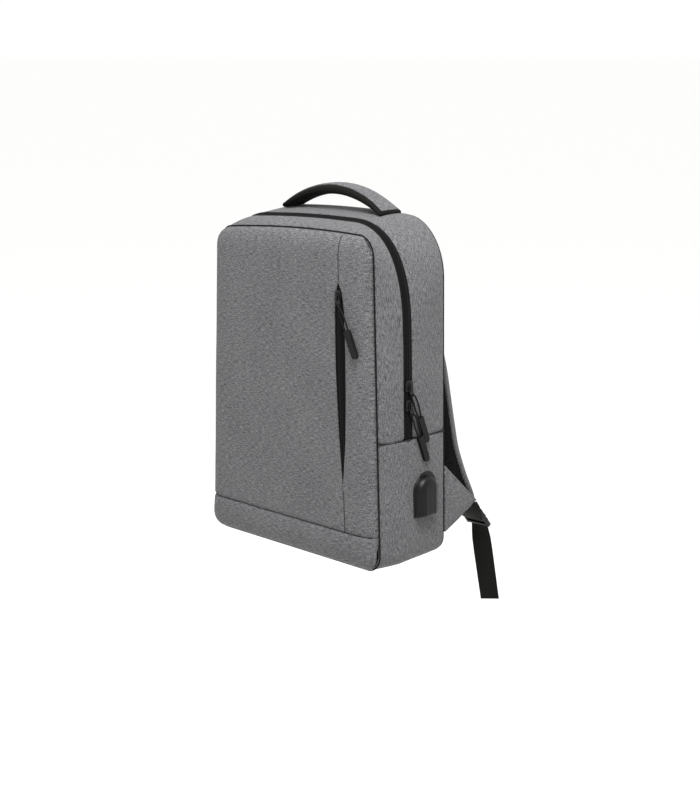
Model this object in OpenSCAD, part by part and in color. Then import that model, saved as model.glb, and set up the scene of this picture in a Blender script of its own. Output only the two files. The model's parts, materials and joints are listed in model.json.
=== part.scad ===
// Laptop backpack with a side charging port, in millimetres.
// Built on the pack's own datum: front panel rim at y = 0, base at z = 0, wearer's side at +y.
// The finished part is then shifted so that its origin is the underside of the grab handle.

/* [Body] */
// Width of the front panel at the base
front_w = 290; // [280:1:300]
// Width lost between the base and the top of the front panel
taper = 26; // [10:1:30]
// Extra half width where the main zip runs
belly = 8; // [5:1:10]
// Height of the front panel
rim_h = 401; // [396:1:406]
// Height of the body at its back
body_h = 424; // [421:1:428]
// Depth from the front panel rim to the back panel
depth = 113; // [110:1:116]
// How far the front panel bulges
crown = 15; // [13:1:16]
// Wall thickness of the padded gussets
wall = 3; // [2.5:0.5:3.5]

/* [Seams] */
// Height of the side seam, where the front folds open
seam_h = 157; // [154:1:160]
// Height of the band along the foot of the front panel
band_h = 44; // [40:1:48]
// Distance of the pocket zip from the edge of the front panel
strip_w = 45; // [43:1:48]
// Lowest point of the pocket opening
pocket_low = 96; // [90:1:100]
// Highest point of the pocket opening
pocket_high = 350; // [346:1:352]

/* [Main zip] */
// Depth at which the two halves of the main zip meet
zip_y = 46; // [45:1:47]
// Width of one side of the zip tape
tape_w = 8; // [7:0.5:8]
// Height of the upper slider
upper_slider_z = 223; // [220:1:224]
// Height of the lower slider
lower_slider_z = 199; // [197:1:201]

/* [Handle] */
// Half the length of the grab handle
handle_reach = 98; // [96:1:100]
// Height of the middle of the handle's arch
handle_z = 449; // [448:1:452]
// Distance of the handle behind the front panel rim
handle_y = 85; // [84:1:86]

/* [Straps] */
// Width of the shoulder strap at the top
strap_w = 62; // [58:1:64]
// Width of the shoulder strap at its lower end
strap_w_end = 46; // [44:1:48]
// Width of the adjusting webbing
webbing_w = 25; // [22:1:26]
// Length of the free webbing tail
tail_len = 106; // [90:1:110]

/* [Charging port] */
// Distance of the port behind the front panel rim
port_y = 75; // [74:1:76]
// Height of the middle of the port
port_z = 85; // [83:1:87]
// Width of the port's arched flange
port_w = 42; // [40:1:43]
// Height of the port's arched flange
port_h = 54; // [52:1:56]

/* [Hidden] */

fabric_grey = [0.42, 0.42, 0.42];
soft_black = [0.07, 0.07, 0.07];
lining_black = [0.10, 0.10, 0.11];
metal_black = [0.13, 0.13, 0.14];

gap = 0.3;               // running clearance between bodies
zip_gap = 0.8;           // half the space between the two rows of zip teeth, where the sliders' webs run
skin_t = 4;              // thickness of the padded front panel
foot_r = 20;             // radius of the lower corners
shoulder = 34;           // width of the front panel's rounded shoulders
roof_steps = 7;          // flats in each upper corner
foot_steps = 4;          // flats in each lower corner
grip_z = handle_z - 6.5; // underside of the handle's arch
edge_lean = taper / 2 / rim_h;
lean_angle = atan(edge_lean);
side_lean = 0.6;         // lean of the sides at the main zip, as a share of the front panel's
back_belly = 0.8;        // extra half width at the back, as a share of the belly

// ---- outline of the body at depth y, inset by t ----

// A value that changes with depth: at the front rim, level across the main zip, and at the back.
zip_front = zip_y - tape_w;
zip_back = zip_y + tape_w;
function across(y, front, middle, back) =
  lookup(y, [[0, front], [zip_front, middle], [zip_back, middle], [depth, back]]);
function half_w(y, z) =
  front_w / 2 + belly * across(y, 0, 1, back_belly) - edge_lean * z * across(y, 1, side_lean, 0.4);
function roof(y) = across(y, rim_h + 2, rim_h + 20, body_h);

// The upper corners are superellipses: half width, half height and exponent change with depth.
function corner_w(y) = across(y, 28, 95, 60);
function corner_h(y) = across(y, 32, 140, 76);
function corner_n(y) = across(y, 2, 2.6, 2);
function flat_w(y) = half_w(y, roof(y) - corner_h(y)) - corner_w(y);
function roof_drop(y) = 5 * pow(flat_w(y) / 110, 2);

// Upper right part of the outline, from the side seam (raised by r) to just before the roof's middle.
function arch_side(y, t, r) = let (
    w = max(corner_w(y) - t, 3),
    h = max(corner_h(y) - t, 3),
    xc = flat_w(y) + corner_w(y) - t - w,
    zc = roof(y) - roof_drop(y) - t - h,
    e = 2 / corner_n(y))
  concat(
    [[half_w(y, seam_h + r) - t, seam_h + r]],
    [for (i = [0:roof_steps]) let (a = 90 * i / roof_steps)
      [xc + w * pow(cos(a), e), zc + h * pow(sin(a), e)]],
    [for (s = [0.66, 0.33]) [xc * s, roof(y) - t - roof_drop(y) * s * s]]);
function mirrored(p) = [for (i = [len(p) - 1:-1:0]) [-p[i][0], p[i][1]]];
// The whole arch, from the right side seam over the roof to the left one.
function arch(y, t, r = 0) = let (p = arch_side(y, t, r)) concat(p, [[0, roof(y) - t]], mirrored(p));

// Lower right part of the outline, from under the base up to the side seam.
function foot(y, t) = let (r = max(foot_r - t, 3), xf = half_w(y, foot_r) - t - r)
  concat(
    [for (i = [0:foot_steps]) let (a = -90 + 90 * i / foot_steps)
      [xf + r * cos(a), t + r + r * sin(a)]],
    [[half_w(y, seam_h) - t, seam_h]]);
// The closed outline, anticlockwise seen from the front.
function outline(y, t) = let (f = foot(y, t), a = arch(y, t))
  concat(f, [for (i = [1:len(a) - 2]) a[i]], mirrored(f));

// Height of the top surface above a point, for what is sewn on it.
function roof_z(x, y) = let (f = flat_w(y), n = corner_n(y))
  abs(x) <= f ? roof(y) - roof_drop(y) * pow(x / f, 2)
  : roof(y) - roof_drop(y) - corner_h(y) * (1 - pow(1 - pow((abs(x) - f) / corner_w(y), n), 1 / n));

// ---- general shapes ----

// A closed solid through a row of rings, each a list of the same number of 3D points.
// A paired ring goes out along one line of points and back along another, and its ends are closed
// between the two lines.
module skin(rings, paired = false) {
  n = len(rings[0]);
  m = len(rings);
  last = (m - 1) * n;
  polyhedron(
    points = [for (r = rings) for (p = r) p],
    faces = concat(
      [for (i = [0:m - 2]) for (j = [0:n - 1]) let (k = (j + 1) % n, a = i * n)
        each [[a + j, a + n + j, a + n + k], [a + j, a + n + k, a + k]]],
      paired
        ? [for (j = [0:n / 2 - 2]) each [
            [j, j + 1, n - 2 - j, n - 1 - j],
            [last + n - 1 - j, last + n - 2 - j, last + j + 1, last + j]]]
        : [[for (j = [0:n - 1]) j], [for (j = [n - 1:-1:0]) last + j]]));
}

// A band that follows the arch. Its section is a list of [depth, inset], r raises its feet.
module arch_band(section, r = 0) {
  count = len(arch(0, 0));
  skin([for (i = [0:count - 1]) [for (s = section) let (p = arch(s[0], s[1], r)[i]) [p[0], s[0], p[1]]]]);
}

// A tube of n sides along a route.
module tube(route, r, n = 8) {
  m = len(route);
  skin([for (i = [0:m - 1]) let (
      d = route[min(i + 1, m - 1)] - route[max(i - 1, 0)],
      t = d / norm(d),
      side = cross(t, abs(t[0]) < 0.8 ? [1, 0, 0] : [0, 1, 0]),
      u = side / norm(side),
      v = cross(t, u))
    [for (j = [0:n - 1]) route[i] + r * (cos(360 * j / n) * u + sin(360 * j / n) * v)]]);
}

// A flat band along a route of [x, y, z, width, turn]: faces off and off + thick behind the route.
module ribbon(route, off, thick) {
  m = len(route);
  function at(i) = [route[i][0], route[i][1], route[i][2]];
  skin([for (i = [0:m - 1]) let (
      d = at(min(i + 1, m - 1)) - at(max(i - 1, 0)),
      t = d / norm(d),
      a = route[i][4],
      raw = [cos(a), sin(a), 0],
      flat = raw - (raw * t) * t,
      across = flat / norm(flat),
      back = cross(t, across),
      w = route[i][3] / 2)
    [at(i) - w * across + off * back, at(i) + w * across + off * back,
     at(i) + w * across + (off + thick) * back, at(i) - w * across + (off + thick) * back]]);
}

module both_sides() {
  children();
  mirror([1, 0, 0]) children();
}

// A box between two opposite corners.
module block(a, b) {
  translate(a) cube(b - a);
}

// ---- front panel ----

// How far the front panel stands out, as a share of the crown, at t from its edge.
function swell(t) = pow(1 - pow(1 - t / shoulder, 2.5), 1 / 2.5);
shoulder_at = [0, 2.5, 8, 18, shoulder];

// The bulged front skin over the rim.
module front_dome() {
  function step(t, inset, high) = [for (p = outline(0, t + inset)) [p[0], -high * swell(t), p[1]]];
  difference() {
    skin([for (t = shoulder_at) step(t, 0, crown)]);
    translate([0, 0.01, 0]) skin([for (t = shoulder_at) step(t, skin_t, crown - skin_t)]);
  }
}

// Where the pocket zip runs, parallel to the right edge of the front panel.
function split_x(z) = front_w / 2 - strip_w - edge_lean * z;

// Places things on the pocket zip at height z, x to the right and y back from the front face.
module at_pocket(z) {
  translate([split_x(z), -crown, z]) rotate([0, -lean_angle, 0]) children();
}

slot_half = 5;
module pocket_slot() {
  at_pocket(pocket_low) block([-slot_half, -2, 0], [slot_half, skin_t + 1, pocket_high - pocket_low]);
}

// The front skin between two heights, left (side -1) or right (side 1) of the pocket zip, or both (0).
module front_piece(z0, z1, side) {
  x0 = side > 0 ? split_x(z0) : -front_w;
  x1 = side > 0 ? split_x(z1) : -front_w;
  x2 = side < 0 ? split_x(z1) : front_w;
  x3 = side < 0 ? split_x(z0) : front_w;
  intersection() {
    front_dome();
    translate([0, 1, 0]) rotate([90, 0, 0]) linear_extrude(crown + 2)
      polygon([[x0, z0], [x3, z0], [x2, z1], [x1, z1]]);
  }
}

module front_panel_upper() {
  color(fabric_grey) difference() {
    front_piece(seam_h + gap, body_h, -1);
    pocket_slot();
  }
}

module front_panel_lower() {
  color(fabric_grey) difference() {
    front_piece(band_h, seam_h, -1);
    pocket_slot();
  }
}

module side_strip_upper() {
  color(fabric_grey) difference() {
    front_piece(seam_h + gap, body_h, 1);
    pocket_slot();
  }
}

module side_strip_lower() {
  color(fabric_grey) difference() {
    front_piece(band_h, seam_h, 1);
    pocket_slot();
  }
}

module front_band() {
  color(fabric_grey) front_piece(-1, band_h, 0);
}

// Tapes and teeth of the pocket zip between two heights, with room for the slider's web.
module pocket_zip(z0, z1) {
  color(soft_black) at_pocket(z0) both_sides() {
    block([zip_gap, 1.6, 0], [slot_half, 2.8, z1 - z0]);
    block([zip_gap, 0.6, 0], [zip_gap + 1.6, 1.6, z1 - z0]);
  }
}

module pocket_zip_upper() {
  pocket_zip(seam_h + gap, pocket_high);
}

module pocket_zip_lower() {
  pocket_zip(pocket_low, seam_h);
}

// The thin rear wall of the front pocket, inside the rim, between two heights.
module pocket_lining(z0, z1) {
  color(lining_black) intersection() {
    skin([for (y = [2.8, 2]) [for (p = outline(0, 3.6)) [p[0], y, p[1]]]]);
    block([-front_w, 1, z0], [front_w, 4, z1]);
  }
}

module pocket_lining_upper() {
  pocket_lining(seam_h + gap, body_h);
}

module pocket_lining_lower() {
  pocket_lining(60, seam_h);
}

// ---- gussets, base and back ----

module front_gusset() {
  color(fabric_grey) arch_band(
    [[0, 0], [zip_front, 0], [zip_front, wall], [0, wall]], gap);
}

module rear_gusset() {
  color(fabric_grey) arch_band(
    [[zip_back, 0], [depth, 0], [depth, wall], [zip_back, wall]]);
}

// Thin linings inside the two gussets.
module lining(y0, y1, r) {
  outer = wall + 1.2;
  inner = wall + 2;
  color(lining_black) arch_band([[y0, outer], [y1, outer], [y1, inner], [y0, inner]], r);
}

module lining_front() {
  lining(4, zip_front - 1, gap);
}

module lining_rear() {
  lining(zip_back + 1, depth - 4, 0);
}

// One half of the main zip: thin tape with its row of teeth at the meeting line. s is +1 at the rear.
module main_zip(s, r) {
  y0 = zip_y + s * zip_gap;
  y1 = zip_y + s * (zip_gap + 1.8);
  y2 = zip_y + s * tape_w;
  section = [[y0, 0.2], [y1, 0.2], [y1, 0.9], [y2, 0.9], [y2, 2.1], [y1, 2.1], [y1, 2.8], [y0, 2.8]];
  color(soft_black) arch_band(s > 0 ? section : [for (i = [len(section) - 1:-1:0]) section[i]], r);
}

module main_zip_front() {
  main_zip(-1, gap);
}

module main_zip_rear() {
  main_zip(1, 0);
}

// Right lower side wall, from the front rim to the back, under the side seam.
module lower_side() {
  skin([for (y = [depth, zip_back, zip_front, 0]) let (f = foot(y, 0), g = foot(y, wall))
    [for (p = concat(f, [for (i = [len(g) - 1:-1:0]) g[i]])) [p[0], y, p[1]]]], paired = true);
}

module lower_side_right() {
  color(fabric_grey) difference() {
    lower_side();
    at_port() block([-12, -9, -13], [6, 9, 9]);
  }
}

module lower_side_left() {
  color(fabric_grey) mirror([1, 0, 0]) lower_side();
}

// Floor of the pack, between the rounded feet of the two sides.
module base_panel() {
  function edge(y) = half_w(y, foot_r) - foot_r;
  color(fabric_grey) skin([for (y = [depth, zip_back, zip_front, 0])
    [[-edge(y), y, 0], [edge(y), y, 0], [edge(y), y, wall], [-edge(y), y, wall]]]);
}

module base_board() {
  color(lining_black) block([-118, 8, wall + gap], [118, 92, wall + 2.3]);
}

// A slab with the outline of the back, inset by t.
module back_slab(y0, y1, t) {
  translate([0, y1, 0]) rotate([90, 0, 0]) linear_extrude(y1 - y0) polygon(outline(depth, t));
}

module back_panel() {
  color(soft_black) back_slab(depth, depth + 4, 0);
}

module back_board() {
  color(lining_black) back_slab(depth - 1.5, depth, 8);
}

// A cushion on the back panel: rounded in outline, with bevelled edges.
module cushion(x, z, w, h, r) {
  function ring(inset, y) = [for (c = [[1, -1, -90], [1, 1, 0], [-1, 1, 90], [-1, -1, 180]]) for (i = [0:4])
    let (a = c[2] + 90 * i / 4)
    [x + c[0] * (w / 2 - r) + (r - inset) * cos(a), y, z + c[1] * (h / 2 - r) + (r - inset) * sin(a)]];
  skin([ring(4, depth + 10), ring(0, depth + 7), ring(0, depth + 4)]);
}

module back_pad_right() {
  color(soft_black) cushion(62, 243, 92, 210, 18);
}

module back_pad_left() {
  color(soft_black) cushion(-62, 243, 92, 210, 18);
}

module lumbar_pad() {
  color(soft_black) cushion(0, 88, 216, 76, 18);
}

// ---- inside the main compartment ----

// Padded tray for a laptop, open at the top, on the inside of the back panel.
module laptop_sleeve() {
  color(lining_black) difference() {
    block([-122, 94, 9], [122, depth - 1.5, 282]);
    block([-119, 98, 13], [119, depth, 283]);
  }
}

// Retaining tab of the sleeve, from the back board over the sleeve's mouth to its front.
module sleeve_tab() {
  color(soft_black) {
    block([-14, 92, 250], [14, 93.7, 292]);
    block([-14, 92, 292], [14, depth - 1.5, 293.6]);
  }
}

// Small open pocket on the right inner wall, where the charging lead ends.
module battery_pocket() {
  color(lining_black) difference() {
    block([108, 8, 32], [134.6, 84, 130]);
    block([111, 11, 35], [135, 81, 131]);
  }
}

// ---- zip sliders and their pulls ----

// A slider as seen from outside: x outwards, y across and z along the zip. Two plates, joined by a web
// that runs between the rows of teeth, and a bridge for the puller.
plate_x = 1.6;  // inner face of each plate, from the middle of the teeth
plate_t = 1.4;
module slider_body(half) {
  corner = half - 2;
  plate = [[-half, -5], [-half, 4], [-corner, 6.8], [corner, 6.8], [half, 4], [half, -5],
    [corner, -6.8], [-corner, -6.8]];
  out = plate_x + plate_t;
  color(metal_black) {
    for (x = [plate_x, -out]) translate([x, 0, 0])
      rotate([90, 0, 90]) linear_extrude(plate_t) polygon(plate);
    block([-plate_x, -0.5, 0], [plate_x, 0.5, 5.5]);
    for (z = [2.2, -4.6]) block([out, -1.1, z], [out + 3.2, 1.1, z + 1.6]);
    block([out + 2.2, -1.1, -3], [out + 3.2, 1.1, 2.2]);
  }
}

// The metal puller: its eye goes round the bridge's lower post, and the cord passes its lower hole.
puller_x = 3.6;
module puller() {
  color(metal_black) translate([puller_x, 0, 0]) rotate([90, 0, 90]) linear_extrude(1.2) difference() {
    hull() {
      translate([-3.2, -1.9]) square([6.4, 1.3]);
      translate([0, -11.5]) circle(r = 3, $fn = 24);
    }
    translate([-2.3, -6]) square([4.6, 4.1]);
    translate([0, -11.5]) circle(r = 1.7, $fn = 24);
  }
}

cord_r = 1.05;
// The run of a pull cord: up from the tip, out through the puller's hole and back down.
pull_route = [
  [5.6, 2.2, -44], [5.7, 2.8, -38], [6.0, 3.2, -32], [6.4, 3.1, -26], [6.7, 2.6, -21],
  [6.8, 1.9, -16], [6.6, 1.2, -13.2], [5.8, 0.5, -11.9], [4.2, 0, -11.5], [2.5, -0.4, -12],
  [2.3, -0.9, -13.9], [3.8, -1.8, -17], [5.0, -2.6, -21], [5.3, -3.2, -27], [5.4, -3.2, -33],
  [5.5, -2.8, -38], [5.6, -2.2, -44]];
module pull_cord() {
  color(soft_black) tube(pull_route, cord_r);
}

// The moulded grip at the end of the cord.
module pull_tip() {
  color(soft_black) translate([3.4, 0, -44]) rotate([90, 0, 90]) linear_extrude(4.4) hull() {
    translate([0, -31]) circle(r = 4.2, $fn = 32);
    translate([-4.4, -4]) square([8.8, 4]);
  }
}

// Places a slider on the right run of the main zip.
module on_main_zip(z) {
  translate([half_w(zip_y, z) - 1.5, zip_y, z]) rotate([0, -atan(edge_lean * side_lean), 0]) children();
}

// Places a slider on the pocket zip, facing forwards.
pocket_slider_z = pocket_high - 16;
module on_pocket_zip() {
  at_pocket(pocket_slider_z) translate([0, 1.7, 0]) rotate([0, 0, -90]) children();
}

// Swings a pull sideways about a point inside its slider's bridge.
main_swing = 22;
pocket_swing = 23;
module swung(angle) {
  translate([0, 0, -2.5]) rotate([angle, 0, 0]) translate([0, 0, 2.5]) children();
}

// ---- handle ----

function handle_mid(x) = handle_z - (handle_z - 420.5) * pow(abs(x) / handle_reach, 1.7);
function handle_thick(x) = 13 - 8.5 * pow(abs(x) / handle_reach, 4);
function handle_half_w(x) = 18 + 4 * pow(abs(x) / handle_reach, 3);

// Point of the handle's section at angle a, inset by t, kept just above the roof.
function handle_point(x, a, t) = let (
    y = handle_y + (handle_half_w(x) - t) * cos(a),
    z = handle_mid(x) + (handle_thick(x) / 2 - t) * sin(a))
  [x, y, max(z, roof_z(x, y) + 0.15 + t)];
handle_steps = 14;
shell_steps = 12;
cover_t = 1.2;
function handle_xs() = [for (i = [0:handle_steps]) handle_reach * (2 * i / handle_steps - 1)];

// A shell of the handle between two section angles, t thick.
module handle_shell(a0, a1, t) {
  skin([for (x = handle_xs()) concat(
    [for (i = [0:shell_steps]) handle_point(x, a0 + (a1 - a0) * i / shell_steps, 0)],
    [for (i = [shell_steps:-1:0]) handle_point(x, a0 + (a1 - a0) * i / shell_steps, t)])]);
}

module handle_cover() {
  color(fabric_grey) handle_shell(20, 160, cover_t);
}

module handle_underside() {
  color(soft_black) handle_shell(160.5, 379.5, cover_t);
}

module handle_core() {
  color(soft_black) skin([for (x = handle_xs()) [for (i = [0:15]) handle_point(x, 22.5 * i, cover_t + 0.5)]]);
}

// ---- charging port ----

// Places the port on the right wall, square to it, x outwards from the fabric.
port_turn = atan(belly * (1 - back_belly) / (depth - zip_back));
module at_port() {
  translate([half_w(port_y, port_z), port_y, port_z]) rotate([0, -atan(edge_lean / 2), port_turn]) children();
}

// Flat outline with a round top and square foot, centred.
function arch_plate(w, h) = concat(
  [[w / 2, -h / 2]],
  [for (i = [0:12]) let (a = 180 * i / 12) [w / 2 * cos(a), h / 2 - w / 2 + w / 2 * sin(a)]],
  [[-w / 2, -h / 2]]);

module port_flange() {
  color(soft_black) at_port() difference() {
    translate([0.3, 0, 0]) rotate([90, 0, 90]) linear_extrude(1.6) polygon(arch_plate(port_w, port_h));
    block([-1, -8.6, -14.6], [3, 8.6, 8.6]);
  }
}

// Arched visor over the socket, open underneath.
module port_hood() {
  steps = [[35, 46, 1.95], [33, 45, 6], [27, 40, 11.5], [16, 30, 13]];
  color(soft_black) at_port() difference() {
    hull() for (s = steps) translate([s[2], 0, 0]) rotate([90, 0, 90]) linear_extrude(0.05)
      polygon(arch_plate(s[0], s[1]));
    block([0, -9.5, -30], [9.5, 9.5, 10]);
  }
}

module port_body() {
  color(soft_black) at_port() difference() {
    union() {
      block([-11, -8.4, -12.6], [0.05, 8.4, 8.4]);
      block([0.05, -8.4, -14.2], [9.3, 8.4, 8.4]);
    }
    block([1.6, -6.7, -15], [7.8, 6.7, 3]);
  }
}

// Metal shell of the socket with its tongue, mouth downwards.
module port_socket() {
  color(metal_black) at_port() {
    difference() {
      block([1.7, -6.6, -14], [7.7, 6.6, 2.9]);
      block([2.1, -6.2, -14.5], [7.3, 6.2, 2.5]);
    }
    block([2.3, -5.6, -12.8], [3.6, 5.6, 2.5]);
  }
}

// The lead from the port body, down the inside wall and into the battery pocket.
lead_route = [
  [143, 75, 72.3], [143, 75.4, 68], [142.4, 77.4, 63], [141, 81.4, 58.5], [139, 86.2, 56],
  [137, 90.4, 57], [135, 93, 62], [134, 93.2, 70], [133, 93, 80], [132.4, 93, 92],
  [132, 93, 104], [131.4, 92.6, 116], [131, 91.6, 128], [130.2, 89, 138], [128.6, 84, 145],
  [126.4, 76, 149], [124.6, 67, 149.4], [123.2, 59, 146], [122.4, 53.6, 140], [122, 50, 132],
  [122, 48, 124], [122, 47, 116], [122, 47, 108]];
module charging_lead() {
  color(soft_black) tube([for (p = lead_route) p - [3, 0, 0]], 1.7);
}

module charging_plug() {
  color(soft_black) block([114.5, 39, 84], [123.5, 55, 107.9]);
  color(metal_black) block([116.8, 41, 65], [121.2, 53, 84]);
}

// Two fabric loops that hold the lead against the wall.
module lead_clips() {
  color(lining_black) for (z = [86, 110]) translate([129.6 - (z - 86) * 0.04, 93, z]) difference() {
    block([-2.6, -3.2, -4], [half_w(93, z + 4) - wall - 129.7, 3.2, 4]);
    block([-2, -2, -5], [2.2, 2, 5]);
  }
}

// ---- shoulder straps ----

// Middle of the strap's inner face, from the top seam to the lower end: [x, y, z, width].
strap_path = [
  [56, 119.5, 397], [58, 123, 382], [63, 129, 358], [70, 134.5, 328], [79, 139, 293],
  [88, 142, 258], [96, 143, 223], [102, 144, 188], [107, 147, 153], [110, 152, 123],
  [112, 160, 100], [112.5, 169, 81], [113, 180, 61], [113, 187, 47]];
function strap_width(i) = strap_w + (strap_w_end - strap_w) * i / (len(strap_path) - 1);
strap_route = [for (i = [0:len(strap_path) - 1]) concat(strap_path[i], [strap_width(i), 0])];

// Faces off and off + thick from the strap's inner face.
module strap_layer(side, off, thick) {
  mirror([side < 0 ? 1 : 0, 0, 0]) mirror([0, 1, 0]) ribbon(
    [for (p = strap_route) [p[0], -p[1], p[2], p[3], 0]], off, thick);
}

module strap_pad(side) {
  color(soft_black) strap_layer(side, 2, 6.5);
}

// Grey outer cover and black mesh inner face of the strap.
module strap_covers(side) {
  color(fabric_grey) strap_layer(side, 8.8, 1.7);
  color(soft_black) strap_layer(side, 0, 1.7);
}

// Ladder lock at the strap's lower end, with the webbing loop that holds it.
lock_at = [118, 214, 20];
lock_tilt = 40;
module at_lock() {
  translate(lock_at) rotate([lock_tilt, 0, 0]) children();
}

module ladder_lock(side) {
  mirror([side < 0 ? 1 : 0, 0, 0]) at_lock() {
    color(soft_black) translate([0, 2.2, 0]) rotate([90, 0, 0]) linear_extrude(4.4) difference() {
      translate([-17, -16]) square([34, 32]);
      translate([-13.5, 4]) square([27, 8]);
      translate([-13.5, -4]) square([27, 4.5]);
      translate([-13.5, -12]) square([27, 4.5]);
    }
    color(soft_black) difference() {
      block([-12.5, -3.6, 6], [12.5, 3.6, 33]);
      block([-13, -2.3, 11.6], [13, 2.3, 31.8]);
      block([-14, -2.5, 3], [14, 2.5, 11.8]);
    }
  }
}

// Grey triangular tabs at the lower corners of the back, to which the webbing is sewn.
module wing() {
  root_y = depth + 4.1;
  function wing_side(dx) = [[148.5 + dx, root_y, 110], [149.8 + dx, root_y, 25],
    [145.5 + dx, 147, 34], [140 + dx, 191, 50]];
  skin([wing_side(-2.4), wing_side(0)]);
}

module wings() {
  color(fabric_grey) both_sides() wing();
}

// Webbing between each wing and its ladder lock, as a share of its length and [x, y, z, turn] there.
webbing_at = [
  [0, [139.5, 176, 43, 80]], [0.25, [137, 183, 37, 66]], [0.5, [132.5, 191, 30, 42]],
  [0.75, [126, 199, 23.5, 20]], [1, [118.5, 207.5, 18, 4]]];
function webbing_value(s, k) = lookup(s, [for (p = webbing_at) [p[0], p[1][k]]]);
webbing_rings = 12;
webbing_route = [for (i = [0:webbing_rings]) let (s = i / webbing_rings)
  [webbing_value(s, 0), webbing_value(s, 1), webbing_value(s, 2), webbing_w, webbing_value(s, 3)]];
module lower_webbing(side) {
  color(soft_black) mirror([side < 0 ? 1 : 0, 0, 0]) ribbon(webbing_route, 0, 1.5);
}

// Free tail of the webbing, hanging from the lock's lower bar: [x, y, z, width, turn].
tail_top = [lock_at[0], 225.3, 6.5];
function tail_route() = [for (s = [0, 0.12, 0.3, 0.5, 0.75, 1])
  [tail_top[0] + 6 * s, tail_top[1] + 17 * s, tail_top[2] - tail_len * s, webbing_w,
    lookup(s, [[0, 0], [0.3, 18], [1, -4]])]];
module tail(side) {
  color(soft_black) mirror([side < 0 ? 1 : 0, 0, 0]) ribbon(tail_route(), 0, 1.5);
}

// ---- the part, with its origin under the middle of the handle ----

translate([0, -handle_y, -grip_z]) {
  front_panel_upper();
  front_panel_lower();
  side_strip_upper();
  side_strip_lower();
  front_band();
  front_gusset();
  rear_gusset();
  lower_side_right();
  lower_side_left();
  base_panel();
  base_board();
  back_panel();
  back_board();
  back_pad_right();
  back_pad_left();
  lumbar_pad();
  main_zip_front();
  main_zip_rear();
  pocket_zip_upper();
  pocket_zip_lower();
  pocket_lining_upper();
  pocket_lining_lower();
  lining_front();
  lining_rear();
  laptop_sleeve();
  sleeve_tab();
  battery_pocket();
  on_main_zip(upper_slider_z) slider_body(6.5);  // upper_slider
  on_main_zip(upper_slider_z) swung(main_swing) puller();  // upper_puller
  on_main_zip(upper_slider_z) swung(main_swing) pull_cord();  // upper_pull_cord
  on_main_zip(upper_slider_z) swung(main_swing) pull_tip();  // upper_pull_tip
  on_main_zip(lower_slider_z) slider_body(6.5);  // lower_slider
  on_main_zip(lower_slider_z) swung(main_swing) puller();  // lower_puller
  on_main_zip(lower_slider_z) swung(main_swing) pull_cord();  // lower_pull_cord
  on_main_zip(lower_slider_z) swung(main_swing) pull_tip();  // lower_pull_tip
  on_pocket_zip() slider_body(slot_half - 0.5);  // pocket_slider
  on_pocket_zip() swung(pocket_swing) puller();  // pocket_puller
  on_pocket_zip() swung(pocket_swing) pull_cord();  // pocket_pull_cord
  on_pocket_zip() swung(pocket_swing) pull_tip();  // pocket_pull_tip
  handle_cover();
  handle_core();
  handle_underside();
  port_hood();
  port_flange();
  port_body();
  port_socket();
  charging_lead();
  charging_plug();
  lead_clips();
  strap_pad(1);  // strap_pad_right
  strap_pad(-1);  // strap_pad_left
  strap_covers(1);  // strap_covers_right
  strap_covers(-1);  // strap_covers_left
  ladder_lock(1);  // ladder_lock_right
  ladder_lock(-1);  // ladder_lock_left
  lower_webbing(1);  // lower_webbing_right
  lower_webbing(-1);  // lower_webbing_left
  wings();
  tail(1);  // tail_right
  tail(-1);  // tail_left
}
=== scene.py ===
# Laptop backpack with a side charging port: cloth, webbing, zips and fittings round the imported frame.
# Lengths in the dictionaries are millimetres, from the front panel's rim (y), the base (z) and the middle (x).
import json
import math

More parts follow.
